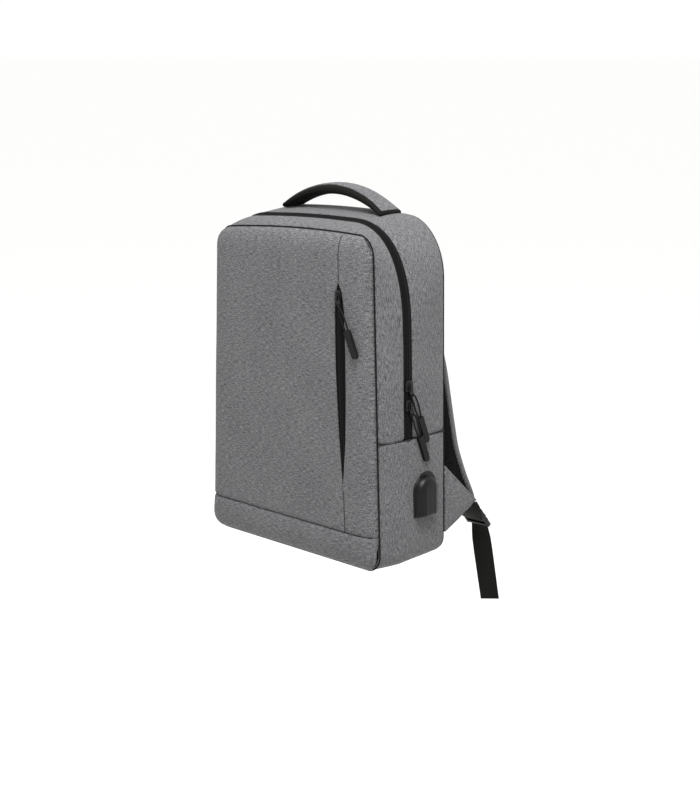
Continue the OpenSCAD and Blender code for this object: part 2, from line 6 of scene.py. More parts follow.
import bmesh
import bpy
from mathutils import Matrix, Vector, noise
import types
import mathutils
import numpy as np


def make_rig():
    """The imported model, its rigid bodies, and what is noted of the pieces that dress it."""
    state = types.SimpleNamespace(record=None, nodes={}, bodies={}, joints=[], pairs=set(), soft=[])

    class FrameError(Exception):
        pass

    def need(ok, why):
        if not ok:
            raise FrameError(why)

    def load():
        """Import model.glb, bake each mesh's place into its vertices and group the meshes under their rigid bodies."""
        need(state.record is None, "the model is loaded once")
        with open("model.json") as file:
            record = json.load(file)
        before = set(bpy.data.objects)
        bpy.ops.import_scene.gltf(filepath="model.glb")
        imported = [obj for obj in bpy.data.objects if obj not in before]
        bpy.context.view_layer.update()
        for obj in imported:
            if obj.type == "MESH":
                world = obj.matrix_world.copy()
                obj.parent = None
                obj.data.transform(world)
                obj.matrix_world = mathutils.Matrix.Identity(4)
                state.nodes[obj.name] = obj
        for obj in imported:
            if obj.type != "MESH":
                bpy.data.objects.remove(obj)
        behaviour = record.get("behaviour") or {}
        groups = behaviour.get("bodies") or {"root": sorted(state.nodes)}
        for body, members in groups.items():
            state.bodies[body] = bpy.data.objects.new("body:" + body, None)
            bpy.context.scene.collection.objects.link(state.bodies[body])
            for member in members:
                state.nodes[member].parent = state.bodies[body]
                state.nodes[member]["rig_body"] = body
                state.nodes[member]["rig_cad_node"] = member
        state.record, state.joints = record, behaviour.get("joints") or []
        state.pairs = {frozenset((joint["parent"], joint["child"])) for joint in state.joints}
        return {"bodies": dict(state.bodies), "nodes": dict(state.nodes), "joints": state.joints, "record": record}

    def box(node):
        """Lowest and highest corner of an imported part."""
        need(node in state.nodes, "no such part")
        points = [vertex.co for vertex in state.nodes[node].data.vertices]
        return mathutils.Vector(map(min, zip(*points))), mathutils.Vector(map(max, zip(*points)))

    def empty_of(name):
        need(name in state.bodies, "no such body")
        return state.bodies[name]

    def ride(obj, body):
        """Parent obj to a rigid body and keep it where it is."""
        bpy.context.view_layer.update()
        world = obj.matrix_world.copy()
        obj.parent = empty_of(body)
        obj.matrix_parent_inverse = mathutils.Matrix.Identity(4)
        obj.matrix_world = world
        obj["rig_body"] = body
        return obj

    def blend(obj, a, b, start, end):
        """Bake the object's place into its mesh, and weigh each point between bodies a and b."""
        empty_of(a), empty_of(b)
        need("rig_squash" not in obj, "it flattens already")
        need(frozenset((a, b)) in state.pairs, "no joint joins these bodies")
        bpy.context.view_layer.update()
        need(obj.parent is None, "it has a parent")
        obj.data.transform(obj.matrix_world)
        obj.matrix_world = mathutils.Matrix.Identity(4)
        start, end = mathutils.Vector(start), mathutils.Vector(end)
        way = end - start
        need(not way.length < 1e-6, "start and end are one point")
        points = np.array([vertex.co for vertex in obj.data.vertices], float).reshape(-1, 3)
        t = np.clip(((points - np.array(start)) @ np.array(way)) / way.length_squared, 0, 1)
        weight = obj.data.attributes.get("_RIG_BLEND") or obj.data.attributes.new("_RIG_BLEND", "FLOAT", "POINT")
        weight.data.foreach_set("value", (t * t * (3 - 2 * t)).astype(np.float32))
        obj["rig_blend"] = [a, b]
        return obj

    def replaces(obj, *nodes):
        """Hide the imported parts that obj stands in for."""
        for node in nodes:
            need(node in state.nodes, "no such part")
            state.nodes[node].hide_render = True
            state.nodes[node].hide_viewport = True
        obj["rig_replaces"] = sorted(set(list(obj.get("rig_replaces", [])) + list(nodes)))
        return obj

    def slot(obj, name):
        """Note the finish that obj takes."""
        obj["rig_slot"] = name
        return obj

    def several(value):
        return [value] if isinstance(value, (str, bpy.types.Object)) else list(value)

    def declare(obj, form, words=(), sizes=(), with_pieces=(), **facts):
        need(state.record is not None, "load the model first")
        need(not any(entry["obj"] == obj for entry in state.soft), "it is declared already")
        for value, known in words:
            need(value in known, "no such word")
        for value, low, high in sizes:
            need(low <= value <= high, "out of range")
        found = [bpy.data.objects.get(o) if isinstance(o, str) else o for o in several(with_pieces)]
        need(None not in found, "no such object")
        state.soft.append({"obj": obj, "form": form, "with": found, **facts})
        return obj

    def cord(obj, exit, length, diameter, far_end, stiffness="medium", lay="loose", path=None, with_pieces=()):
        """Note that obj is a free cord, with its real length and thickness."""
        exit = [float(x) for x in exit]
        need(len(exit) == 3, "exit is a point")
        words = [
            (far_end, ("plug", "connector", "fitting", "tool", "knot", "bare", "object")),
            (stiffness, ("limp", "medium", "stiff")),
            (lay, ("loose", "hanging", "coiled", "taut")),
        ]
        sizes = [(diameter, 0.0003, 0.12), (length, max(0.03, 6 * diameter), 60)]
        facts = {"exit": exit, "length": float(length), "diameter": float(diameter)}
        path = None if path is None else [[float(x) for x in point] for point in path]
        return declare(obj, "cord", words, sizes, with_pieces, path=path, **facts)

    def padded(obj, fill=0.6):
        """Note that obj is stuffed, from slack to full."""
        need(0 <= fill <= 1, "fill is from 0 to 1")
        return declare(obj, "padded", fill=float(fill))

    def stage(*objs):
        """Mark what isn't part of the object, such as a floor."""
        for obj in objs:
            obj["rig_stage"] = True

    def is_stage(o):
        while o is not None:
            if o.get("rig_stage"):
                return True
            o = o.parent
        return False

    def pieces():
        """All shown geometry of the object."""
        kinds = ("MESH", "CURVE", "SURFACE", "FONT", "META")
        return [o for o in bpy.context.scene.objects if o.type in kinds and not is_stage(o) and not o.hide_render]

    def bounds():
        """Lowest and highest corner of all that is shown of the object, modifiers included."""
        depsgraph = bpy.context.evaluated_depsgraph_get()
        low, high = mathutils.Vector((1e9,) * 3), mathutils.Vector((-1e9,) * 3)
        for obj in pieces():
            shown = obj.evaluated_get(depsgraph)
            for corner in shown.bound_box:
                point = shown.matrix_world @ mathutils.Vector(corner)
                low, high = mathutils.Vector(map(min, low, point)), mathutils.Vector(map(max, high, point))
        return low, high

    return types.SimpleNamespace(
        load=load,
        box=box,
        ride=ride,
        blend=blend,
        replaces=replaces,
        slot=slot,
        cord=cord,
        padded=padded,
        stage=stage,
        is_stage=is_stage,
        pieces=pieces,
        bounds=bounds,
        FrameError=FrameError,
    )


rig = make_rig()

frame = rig.load()
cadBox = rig.bounds()
print("frame loaded")

# ---- places ----

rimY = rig.box("front_gusset")[0].y
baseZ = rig.box("base_panel")[0].z


def at(x, y, z):
    return Vector((x / 1000, rimY + y / 1000, baseZ + z / 1000))


def mix(a, b, share):
    return a + (b - a) * share


def readRow(value, rows):
    # straight lines between [value, result] pairs
    for (low, first), (high, second) in zip(rows, rows[1:]):
        if value <= high:
            return mix(first, second, max(value - low, 0) / (high - low))
    return rows[-1][1]


def easeRow(value, rows):
    # the same, with a soft start and end to each step
    for (low, first), (high, second) in zip(rows, rows[1:]):
        if value <= high:
            share = max(value - low, 0) / (high - low)
            return mix(first, second, share * share * (3 - 2 * share))
    return rows[-1][1]


def ripple(x, y, z, size, amount, seed=0.0):
    # gentle unevenness of cloth, size millimetres from dent to dent
    return amount * noise.noise(Vector((x / size + seed, y / size, z / size)))


def valley(distance, depth, width):
    return depth * math.exp(-((distance / width) ** 2))


# ---- camera ----

camera = {"place": (1.5665, -1.6735, 0.2309), "heading": 42.82, "down": 12.2, "lens": 82.2}

cameraData = bpy.data.cameras.new("camera")
cameraData.lens = camera["lens"]
cameraData.sensor_width = 36
cameraData.clip_end = 50
cameraObject = bpy.data.objects.new("camera", cameraData)
cameraObject.location = camera["place"]
cameraObject.rotation_euler = (math.radians(90 - camera["down"]), 0, math.radians(camera["heading"]))
bpy.context.scene.collection.objects.link(cameraObject)
bpy.context.scene.camera = cameraObject

# ---- materials ----


def colour(hexCode):
    parts = [int(hexCode[i : i + 2], 16) / 255 for i in (1, 3, 5)]
    return tuple(p / 12.92 if p <= 0.04045 else ((p + 0.055) / 1.055) ** 2.4 for p in parts) + (1.0,)


def addNode(tree, kind, inputs=None, **settings):
    node = tree.nodes.new(kind)
    for key, value in settings.items():
        setattr(node, key, value)
    for key, value in (inputs or {}).items():
        if isinstance(value, bpy.types.NodeSocket):
            tree.links.new(value, node.inputs[key])
        else:
            node.inputs[key].default_value = value
    return node


def startMaterial(name, **shader):
    material = bpy.data.materials.new(name)
    material.use_nodes = True
    tree = material.node_tree
    surface = tree.nodes["Principled BSDF"]
    for key, value in shader.items():
        surface.inputs[key.replace("_", " ")].default_value = value
    return material, tree, surface


def clothMap(tree, scale=1000):
    # the piece's map of its cloth, in millimetres unless it is scaled otherwise
    uv = addNode(tree, "ShaderNodeUVMap", uv_map="cloth").outputs["UV"]
    return addNode(tree, "ShaderNodeMapping", {"Vector": uv, "Scale": (scale, scale, 1)}).outputs["Vector"]


def addNoise(tree, place, scale, detail):
    return addNode(tree, "ShaderNodeTexNoise", {"Vector": place, "Scale": scale, "Detail": detail}).outputs["Fac"]


def addMix(tree, share, first, second):
    return addNode(tree, "ShaderNodeMix", {"Factor": share, "A": first, "B": second}).outputs["Result"]


def addRamp(tree, surface, factor, dark, light, low=0.0, high=1.0):
    # the base colour, dark where the factor is low and light where it is high
    ramp = addNode(tree, "ShaderNodeValToRGB", {"Fac": factor})
    for i, (position, tint) in enumerate(((low, dark), (high, light))):
        ramp.color_ramp.elements[i].position = position
        ramp.color_ramp.elements[i].color = colour(tint)
    tree.links.new(ramp.outputs["Color"], surface.inputs["Base Color"])


def addBump(tree, surface, height, strength, distance):
    bump = addNode(tree, "ShaderNodeBump", {"Height": height, "Strength": strength, "Distance": distance})
    tree.links.new(bump.outputs["Normal"], surface.inputs["Normal"])


# millimetres and degrees; the real yarn is about 0.4 wide, too fine to show
heather = {"yarn": 0.8, "warp": 3.2, "weft": 7, "twillLength": 4, "twillWidth": 1.2, "twillAngle": -38, "patch": 70}


def heatherCloth():
    # Two-tone woven polyester: light and dark yarns cross, so it looks flecked, dry and matt.
    material, tree, surface = startMaterial(
        "wovenHeatherPolyester", Roughness=0.92, Sheen_Weight=0.05, Sheen_Roughness=0.6, Specular_IOR_Level=0.2
    )
    flat = clothMap(tree)

    def streaks(width, height, angle=0, detail=2.0):
        settings = {"Vector": flat, "Rotation": (0, 0, math.radians(angle)), "Scale": (1 / width, 1 / height, 1)}
        return addNoise(tree, addNode(tree, "ShaderNodeMapping", settings).outputs[0], 1.0, detail)

    warp = streaks(heather["yarn"], heather["warp"])
    weft = streaks(heather["weft"], heather["yarn"])
    twill = streaks(heather["twillLength"], heather["twillWidth"], heather["twillAngle"], 1.0)
    cells = addNode(tree, "ShaderNodeTexChecker", {"Vector": flat, "Scale": 1 / heather["yarn"]}).outputs["Fac"]
    woven = addMix(tree, 0.14, addMix(tree, cells, warp, weft), twill)
    patches = addNoise(tree, flat, 1 / heather["patch"], 2.0)
    addRamp(tree, surface, addMix(tree, 0.05, woven, patches), "#28282b", "#6c6c6d", 0.4, 0.62)
    addBump(tree, surface, woven, 0.35, 0.0005)
    return material


def wovenBlack(name, light, dark, rib, shine):
    # Flat black woven nylon or polyester with ribs across it, rib millimetres apart.
    material, tree, surface = startMaterial(
        name, Roughness=shine, Sheen_Weight=0.02, Sheen_Roughness=0.5, Specular_IOR_Level=0.1
    )
    flat = clothMap(tree)
    ribs, strands = (
        addNode(
            tree, "ShaderNodeTexWave",
            {"Vector": flat, "Scale": 0.314 / apart, "Distortion": distortion, "Detail": 1.0, "Detail Scale": 0.4},
            wave_type="BANDS", bands_direction=direction,
        ).outputs["Fac"]
        for direction, apart, distortion in (("Y", rib, 0.6), ("X", rib * 0.8, 0.4))
    )
    weave = addNode(tree, "ShaderNodeMath", {0: ribs, 1: strands}, operation="MULTIPLY").outputs[0]
    addRamp(tree, surface, addMix(tree, 0.35, weave, addNoise(tree, flat, 0.06, 3.0)), dark, light)
    addBump(tree, surface, weave, 0.5, 0.0004)
    return material


def spacerMesh(hole):
    # Knitted air mesh: small round holes in rows, hole millimetres apart, soft, with a deep matt black.
    material, tree, surface = startMaterial(
        "knittedAirMesh", Roughness=0.95, Sheen_Weight=0.03, Sheen_Roughness=0.5, Specular_IOR_Level=0.2
    )
    holes = addNode(
        tree, "ShaderNodeTexVoronoi", {"Vector": clothMap(tree, 1000 / hole), "Scale": 1.0, "Randomness": 0.12}
    ).outputs["Distance"]
    edge = addNode(
        tree, "ShaderNodeMapRange", {"Value": holes, "From Min": 0.16, "From Max": 0.42}
    ).outputs["Result"]
    # the holes are painted darker than the knit between them: painted shade inside each hole
    addRamp(tree, surface, edge, "#030303", "#0e0e0f")
    addBump(tree, surface, edge, 0.8, 0.0012)
    return material


def moulded(name, tint, worn, roughness, grain, **shader):
    # Moulded or painted part: a fine surface grain, and a little lighter where hands rub it.
    material, tree, surface = startMaterial(name, Roughness=roughness, **shader)
    place = addNode(tree, "ShaderNodeTexCoord").outputs["Object"]
    rub = addNoise(tree, place, 1000 / 9, 4.0)
    addRamp(tree, surface, rub, tint, worn, 0.42, 0.78)
    gloss = {"From Min": 0.3, "From Max": 0.8, "To Min": roughness * 0.85, "To Max": min(roughness * 1.2, 1)}
    rough = addNode(tree, "ShaderNodeMapRange", {"Value": rub, **gloss})
    tree.links.new(rough.outputs["Result"], surface.inputs["Roughness"])
    addBump(tree, surface, addNoise(tree, place, 1000 / grain, 3.0), 0.25, 0.0002)
    return material


finish = {
    "cloth": heatherCloth(),
    "mesh": spacerMesh(3.2),
    "lining": wovenBlack("wovenNylonLining", "#101012", "#050506", 0.8, 0.8),
    "webbing": wovenBlack("ribbedNylonWebbing", "#131310", "#050504", 1.6, 0.8),
    "tape": wovenBlack("knittedZipTape", "#0a0a0a", "#020202", 1.1, 0.85),
    "binding": wovenBlack("grosgrainBinding", "#161616", "#070707", 1.3, 0.75),
    "cord": wovenBlack("braidedPolyesterCord", "#171717", "#060606", 0.9, 0.65),
    # painted shadow: these two finishes colour the thin dark tubes laid in the seam grooves, the darker one along the
    # rim and foot
    "seam": wovenBlack("seamTape", "#131314", "#060606", 0.8, 0.9),
    "seamGrey": wovenBlack("greySeamTape", "#2b2b2d", "#18181a", 0.8, 0.9),
    "zinc": moulded("paintedZinc", "#040404", "#0e0e0f", 0.4, 0.5, Specular_IOR_Level=0.3),
    "grip": moulded("mouldedThermoplasticRubber", "#060606", "#0e0e0e", 0.55, 0.6, Specular_IOR_Level=0.18),
    "rubber": moulded("smoothSiliconeRubber", "#040404", "#0a0a0a", 0.38, 0.5, Specular_IOR_Level=0.22),
    "abs": moulded("mouldedAbs", "#141415", "#262627", 0.42, 0.5),
    "acetal": moulded("mouldedAcetal", "#040404", "#0b0b0c", 0.4, 0.6, Specular_IOR_Level=0.22),
    "steel": moulded("nickelPlatedSteel", "#b9b9b6", "#8f8f8c", 0.28, 0.4, Metallic=1.0),
    "jacket": moulded("extrudedPvcJacket", "#141414", "#222222", 0.5, 0.8),
    "board": moulded("polyethyleneBoard", "#1b1b1c", "#29292b", 0.55, 0.9),
}
print("materials made")

# ---- ways of making cloth ----

bagMiddle = at(0, 60, 200)


def runLength(points):
    total = [0.0]
    for a, b in zip(points, points[1:]):
        total.append(total[-1] + (b - a).length)
    return total


def layGrid(columns, rows, place, pattern=None):
    # a flat grid laid over the shape that place(u, v) gives, with its map of the cloth in metres
    mesh = bmesh.new()
    layer = mesh.loops.layers.uv.new("cloth")
    bmesh.ops.create_grid(mesh, x_segments=columns, y_segments=rows, size=0.5)
    steps = 160
    alongU = runLength([place(i / steps, 0.5) for i in range(steps + 1)])
    alongV = runLength([place(0.5, i / steps) for i in range(steps + 1)])
    flat = {}
    for v in mesh.verts:
        u, w = v.co.x + 0.5, v.co.y + 0.5
        v.co = place(u, w)
        flat[v] = pattern(v.co) if pattern else (lengthAt(alongU, u), lengthAt(alongV, w))
    for face in mesh.faces:
        face.smooth = True
        for loop in face.loops:
            loop[layer].uv = flat[loop.vert]
    return mesh


def lengthAt(total, share):
    spot = min(max(share, 0), 1) * (len(total) - 1)
    first = min(int(spot), len(total) - 2)
    return mix(total[first], total[first + 1], spot - first)


def faceAway(mesh, middle=None):
    # turns an open sheet so that it faces away from the middle of the bag
    middle = middle or bagMiddle
    mesh.normal_update()
    facing = sum(f.normal.dot(f.calc_center_median() - middle) * f.calc_area() for f in mesh.faces)
    if facing < 0:
        bmesh.ops.reverse_faces(mesh, faces=mesh.faces)


def closeTube(mesh):
    # joins the first and last columns of a rolled grid and closes its two ends
    bmesh.ops.remove_doubles(mesh, verts=mesh.verts, dist=1e-6)
    closeHoles(mesh)


def makePiece(name, mesh, *materials):
    data = bpy.data.meshes.new(name)
    mesh.to_mesh(data)
    mesh.free()
    piece = bpy.data.objects.new(name, data)
    bpy.context.scene.collection.objects.link(piece)
    for key in materials:
        data.materials.append(finish[key])
    return piece


def thicken(piece, thickness, inside=0, offset=-1):
    # a wall, with the material inside places further down the list on its inner face
    wall = piece.modifiers.new("wall", "SOLIDIFY")
    wall.thickness = thickness / 1000
    wall.offset = offset
    wall.use_even_offset = False
    wall.material_offset = inside
    return piece


def dress(node, key, width, segments=2):
    # gives a packed moulded part its material and rounds its edges
    part = frame["nodes"][node]
    part.data.materials.clear()
    part.data.materials.append(finish[key])
    part.modifiers.new("join", "WELD").merge_threshold = 1e-5
    edge = part.modifiers.new("edge", "BEVEL")
    edge.width = width / 1000
    edge.segments = segments
    edge.limit_method = "ANGLE"
    edge.angle_limit = math.radians(35)
    edge.harden_normals = False


def closeHoles(mesh):
    rims = [e for e in mesh.edges if e.is_boundary]
    bmesh.ops.holes_fill(mesh, edges=rims, sides=0)
    bmesh.ops.recalc_face_normals(mesh, faces=mesh.faces)


foldStart, foldEnd = at(0, 0, 157), at(0, 0, 217)


def settle(piece, body, slotName, *nodes):
    # gives a finished piece its body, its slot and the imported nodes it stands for; "fold" bends with the cover
    if body == "fold":
        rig.blend(piece, "pack_body", "front_cover", start=foldStart, end=foldEnd)
    else:
        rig.ride(piece, body)
    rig.slot(piece, slotName)
    if nodes:
        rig.replaces(piece, *nodes)
    return piece


lined = ("cloth", "lining")


def layCloth(name, mesh, thickness, materials, ridesOn, slotName, *nodes):
    # an open sheet that faces away from the bag, with the last material on its inner face
    faceAway(mesh)
    piece = thicken(makePiece(name, mesh, *materials), thickness, len(materials) - 1)
    return settle(piece, ridesOn, slotName, *nodes)


def mirrored(spot, sign):
    return Vector((spot.x * sign, spot.y, spot.z))


# ---- the body's outline ----

body = {
    "frontWidth": 290, "taper": 26, "rim": 401, "belly": 8, "backBelly": 0.8, "sideLean": 0.6, "backLean": 0.4,
    "frontRoof": 408, "zipRoof": 421, "backRoof": 424, "depth": 113, "zipMiddle": 46, "tape": 8,
    "crown": 15, "shoulder": 34, "footRadius": 20, "seamHeight": 157, "bandHeight": 44, "stripWidth": 45,
    "rimInset": 1.3, "tilt": 3.5, "zipDrift": 8,
}
# the share of each outline at which it starts or ends a corner
turn = {
    "archCorner": 0.26, "archRoof": 0.4, "foot": 0.2, "panel": 0.84, "band": 0.35, "backFoot": 0.12, "backTop": 0.78,
}
zipFront = body["zipMiddle"] - body["tape"]
zipBack = body["zipMiddle"] + body["tape"]
edgeLean = body["taper"] / 2 / body["rim"]


def across(y, front, middle, back):
    return readRow(y, [[0, front], [zipFront, middle], [zipBack, middle], [body["depth"], back]])


def halfWidth(y, z):
    return (
        body["frontWidth"] / 2
        + body["belly"] * across(y, 0, 1, body["backBelly"])
        - edgeLean * z * across(y, 1, body["sideLean"], body["backLean"])
    )


def roofHeight(y):
    return across(y, body["frontRoof"], body["zipRoof"], body["backRoof"])


def cornerWidth(y, left=False):
    # the left corners are squarer, because nothing pulls the cloth there
    return across(y, 22 if left else 24, 72 if left else 95, 60)


def cornerHeight(y, left=False):
    return across(y, 44 if left else 26, 84 if left else 140, 76)


def flatWidth(y, left=False):
    return halfWidth(y, roofHeight(y) - cornerHeight(y, left)) - cornerWidth(y, left)


def roofDrop(y, left=False):
    return 4 * (flatWidth(y, left) / 110) ** 2


def drape(x, y, z):
    # the soft shell hangs a little lower on its left and fuller on its right, least at the back
    tilt = body["tilt"] * x / 120 * (z / 200 - 1) * max(1 - y / 130, 0)
    return at(x, y, z + tilt)


def zipMiddle(s):
    # the zip runs a little further forward over the top than down the sides
    drift = easeRow(min(s, 1 - s), [[0, 0], [0.24, 0], [turn["archRoof"], 1], [0.5, 1]])
    return body["zipMiddle"] - body["zipDrift"] * drift


def archCurve(y, s):
    # from the right side seam (s = 0) over the roof to the left one (s = 1)
    half = min(s, 1 - s)
    left = s > 0.5
    flat, width, height = flatWidth(y, left), cornerWidth(y, left), cornerHeight(y, left)
    drop = roofDrop(y, left)
    cornerZ = roofHeight(y) - drop - height
    corner, roof = turn["archCorner"], turn["archRoof"]
    if half < corner:
        z = mix(body["seamHeight"], cornerZ, half / corner)
        x = halfWidth(y, z)
    elif half < roof:
        angle = math.radians(90 * (half - corner) / (roof - corner))
        power = 2 / across(y, 2, 2.6, 2)
        x = flat + width * max(math.cos(angle), 0) ** power
        z = cornerZ + height * max(math.sin(angle), 0) ** power
    else:
        share = 1 - (half - roof) / (0.5 - roof)
        x = flat * share
        z = roofHeight(y) - drop * share * share
    return (x if s <= 0.5 else -x), z


def footCurve(y, s):
    # from under the base (s = 0) round the lower right corner and up to the side seam (s = 1)
    radius = body["footRadius"]
    start = halfWidth(y, radius) - radius
    if s < turn["foot"]:
        angle = math.radians(-90 + 90 * s / turn["foot"])
        return start + radius * math.cos(angle), radius + radius * math.sin(angle)
    z = mix(radius, body["seamHeight"], (s - turn["foot"]) / (1 - turn["foot"]))
    return halfWidth(y, z), z


def onSkin(curve, y, s, lift):
    # the point of a curve round the body at depth y, lifted off it by lift
    x, z = curve(y, s)
    step = 0.004
    ax, az = curve(y, max(s - step, 0))
    bx, bz = curve(y, min(s + step, 1))
    length = math.hypot(bx - ax, bz - az)
    return x + (bz - az) / length * lift, z - (bx - ax) / length * lift


# ---- front panel ----

front = {
    "cushion": 1.2, "unevenness": 0.7, "panelThickness": 2.6, "seamDepth": 2.2, "seamWidth": 1.9,
    "openingLow": 96, "openingHigh": 350,
    "opening": [[0, 0], [0.08, 1.8], [0.25, 5.2], [0.45, 7.4], [0.65, 8.2], [0.85, 7.6], [0.94, 4.8], [1, 0]],
}


def splitX(z):
    return body["frontWidth"] / 2 - body["stripWidth"] - edgeLean * z


def openingHalf(z):
    share = (z - front["openingLow"]) / (front["openingHigh"] - front["openingLow"])
    return readRow(share, front["opening"]) if 0 < share < 1 else 0


def rimDistance(x, z):
    # how far a point of the front lies inside the rim, with rounded corners
    reach = body["shoulder"]
    left = x < 0
    top = body["frontRoof"] - roofDrop(0, left) * min(abs(x) / flatWidth(0, left), 1) ** 2 - z
    side = halfWidth(0, z) - abs(x)
    for end, radius in ((top, cornerWidth(0, left)), (z, body["footRadius"])):
        if side < reach and end < reach:
            far = math.hypot(reach - side, reach - end)
            turn = math.atan2(reach - end, reach - side)
            return reach - far + 0.414 * (reach - radius) * math.sin(2 * turn) ** 2 * far / reach
    return min(side, top, z, reach)


def frontDepth(x, z):
    share = min(max(rimDistance(x, z) - body["rimInset"], 0) / (body["shoulder"] - body["rimInset"]), 1)
    swell = (1 - (1 - share) ** 2.5) ** 0.4
    centre = front["cushion"] * math.cos(min(abs(x) / 150, 1) * math.pi / 2)
    centre *= math.sin(math.pi * min(max(z / 400, 0), 1))
    uneven = ripple(x, 0, z, 85, front["unevenness"]) + ripple(x, 0, z, 30, front["unevenness"] * 0.35, 5.0)
    return -body["crown"] * swell - (centre + uneven) * swell


outside = 999  # beyond every seam


def seamDip(z, x):
    # the seams across and down the front pull the cloth in
    dip = valley(z - body["bandHeight"], front["seamDepth"], front["seamWidth"])
    if not front["openingLow"] < z < front["openingHigh"] and z > body["bandHeight"] - 1:
        dip = max(dip, valley(x - splitX(z), front["seamDepth"] * 0.7, front["seamWidth"]))
    return dip


def spread(share, amount=0.6):
    # moves evenly spaced columns towards both edges of a panel
    return mix(share, (1 - math.cos(math.pi * share)) / 2, amount)


def panelRow(v, bottom, left):
    # height at the rim, the rim's half width there, and how far up the rounded top corner it is
    cornerZ = body["frontRoof"] - roofDrop(0, left) - cornerHeight(0, left)
    if v < turn["panel"]:
        z = mix(bottom, cornerZ, v / turn["panel"])
        return z, halfWidth(0, z) - body["rimInset"], 0
    angle = math.radians(90 * (v - turn["panel"]) / (1 - turn["panel"]))
    width = cornerWidth(0, left) - body["rimInset"]
    return cornerZ, flatWidth(0, left) + width * math.cos(angle), math.sin(angle)


def frontPoint(v, share, left):
    z, edge, rise = panelRow(v, body["bandHeight"], left)
    split = splitX(z + rise * cornerHeight(0, left))
    middle = split - openingHalf(z) if left else split + openingHalf(z)
    x = mix(-edge, middle, share) if left else mix(middle, edge, share)
    top = body["frontRoof"] - body["rimInset"] - roofDrop(0, x < 0) * min(abs(x) / flatWidth(0, x < 0), 1) ** 2
    z = z + rise * (top - z)
    depth = frontDepth(x, z) + seamDip(z, x)
    gapHalf = openingHalf(z)
    if gapHalf > 0:  # the cloth rolls in at the pocket's mouth
        depth += valley(abs(x - middle), 1.5 * min(gapHalf / 4, 1), 1.6)
    return drape(x, depth, z)


def overFront(co):
    return co.x, co.z


def bandPoint(u, v):
    radius = body["footRadius"] - body["rimInset"]
    if v < turn["band"]:
        angle = math.radians(-90 + 90 * v / turn["band"])
        z = body["footRadius"] + radius * math.sin(angle)
        edge = halfWidth(0, body["footRadius"]) - body["footRadius"] + radius * math.cos(angle)
    else:
        z = mix(body["footRadius"], body["bandHeight"], (v - turn["band"]) / (1 - turn["band"]))
        edge = halfWidth(0, z) - body["rimInset"]
    x = mix(-edge, edge, spread(u))
    bulge = 1.2 * math.sin(math.pi * min(z / body["bandHeight"], 1))
    return drape(x, frontDepth(x, z) - bulge + seamDip(z, outside), z)


for name, columns, left, nodes in (
    ("frontPanel", 84, True, ("front_panel_upper", "front_panel_lower")),
    ("sideStrip", 26, False, ("side_strip_upper", "side_strip_lower")),
):
    panel = layGrid(columns, 110, lambda u, v: frontPoint(v, spread(u), left), overFront)
    layCloth(name, panel, front["panelThickness"], lined, "fold", "grey_fabric", *nodes)

band = layGrid(96, 22, bandPoint, overFront)
layCloth("frontBand", band, front["panelThickness"], lined, "pack_body", "grey_fabric", "front_band")
print("front made")

# ---- gussets and lower sides ----

gusset = {"thickness": 3.0, "bulge": 1.6, "unevenness": 0.9, "edgeDip": 2.2, "zipDip": 1.3, "backDip": 1.6}


def gussetLift(x, y, z, y0, y1, frontDip, backDip):
    share = (y - y0) / (y1 - y0)
    lift = gusset["bulge"] * math.sin(math.pi * share)
    lift += ripple(x, y, z, 45, gusset["unevenness"], 9.0) * math.sin(math.pi * share)
    return lift - valley(y - y0, frontDip, 2.4) - valley(y1 - y, backDip, 2.2)


def gussetPoint(y0, y1, frontDip, backDip):
    def place(u, v):
        drift = zipMiddle(u) - body["zipMiddle"]
        first, last = (y0, y1 + drift) if y0 == 0 else (y0 + drift, y1)
        y = mix(first, last, spread(v, 0.75))
        x, z = archCurve(y, u)
        seam = valley(z - body["seamHeight"], 1.2, 2.0)
        x, z = onSkin(archCurve, y, u, gussetLift(x, y, z, first, last, frontDip, backDip) - seam)
        return drape(x, y, z)
    return place


for name, columns, place, ridesOn, nodes in (
    (
        "frontGusset", 16, gussetPoint(0, zipFront, gusset["edgeDip"], gusset["zipDip"]), "fold",
        ("front_gusset", "lining_front"),
    ),
    (
        "rearGusset", 22, gussetPoint(zipBack, body["depth"], gusset["zipDip"], gusset["backDip"]), "pack_body",
        ("rear_gusset", "lining_rear"),
    ),
):
    layCloth(name, layGrid(220, columns, place), gusset["thickness"], lined, ridesOn, "grey_fabric", *nodes)


def lowerSidePoint(sign):
    def place(u, v):
        y = mix(0, body["depth"], spread(v, 0.5))
        x, z = footCurve(y, u)
        share = y / body["depth"]
        lift = gusset["bulge"] * math.sin(math.pi * share) * min(z / 30, 1)
        lift += ripple(x * sign, y, z, 40, gusset["unevenness"], 3.0) * math.sin(math.pi * share)
        lift -= valley(y, gusset["edgeDip"], 2.4) + valley(body["depth"] - y, gusset["backDip"], 2.2)
        lift -= valley(z - body["seamHeight"], 1.2, 2.0)
        below = body["seamHeight"] - z  # the zip's end pulls a short dart into the cloth
        if 0 <= below < 40:
            lift -= valley(y - body["zipMiddle"] + below * 0.05, 2.6 * (1 - below / 40), 3.0)
        x, z = onSkin(footCurve, y, u, lift)
        return drape(x * sign, y, z)
    return place


for sign, name, node in ((1, "lowerSideRight", "lower_side_right"), (-1, "lowerSideLeft", "lower_side_left")):
    layCloth(
        name, layGrid(60, 44, lowerSidePoint(sign)), gusset["thickness"], lined, "pack_body", "grey_fabric", node
    )


def basePoint(u, v):
    y = mix(0, body["depth"], spread(v, 0.5))
    edge = halfWidth(y, body["footRadius"]) - body["footRadius"]
    x = mix(-edge, edge, u)
    sag = 0.8 * math.sin(math.pi * u) * math.sin(math.pi * v) + ripple(x, y, 0, 50, 0.4)
    dip = max(valley(y, gusset["edgeDip"], 2.4), valley(body["depth"] - y, gusset["backDip"], 2.2))
    return drape(x, y, dip - max(sag, 0) * 0.5)


layCloth(
    "basePanel", layGrid(60, 30, basePoint), gusset["thickness"], lined, "pack_body", "grey_fabric", "base_panel"
)
print("sides and base made")

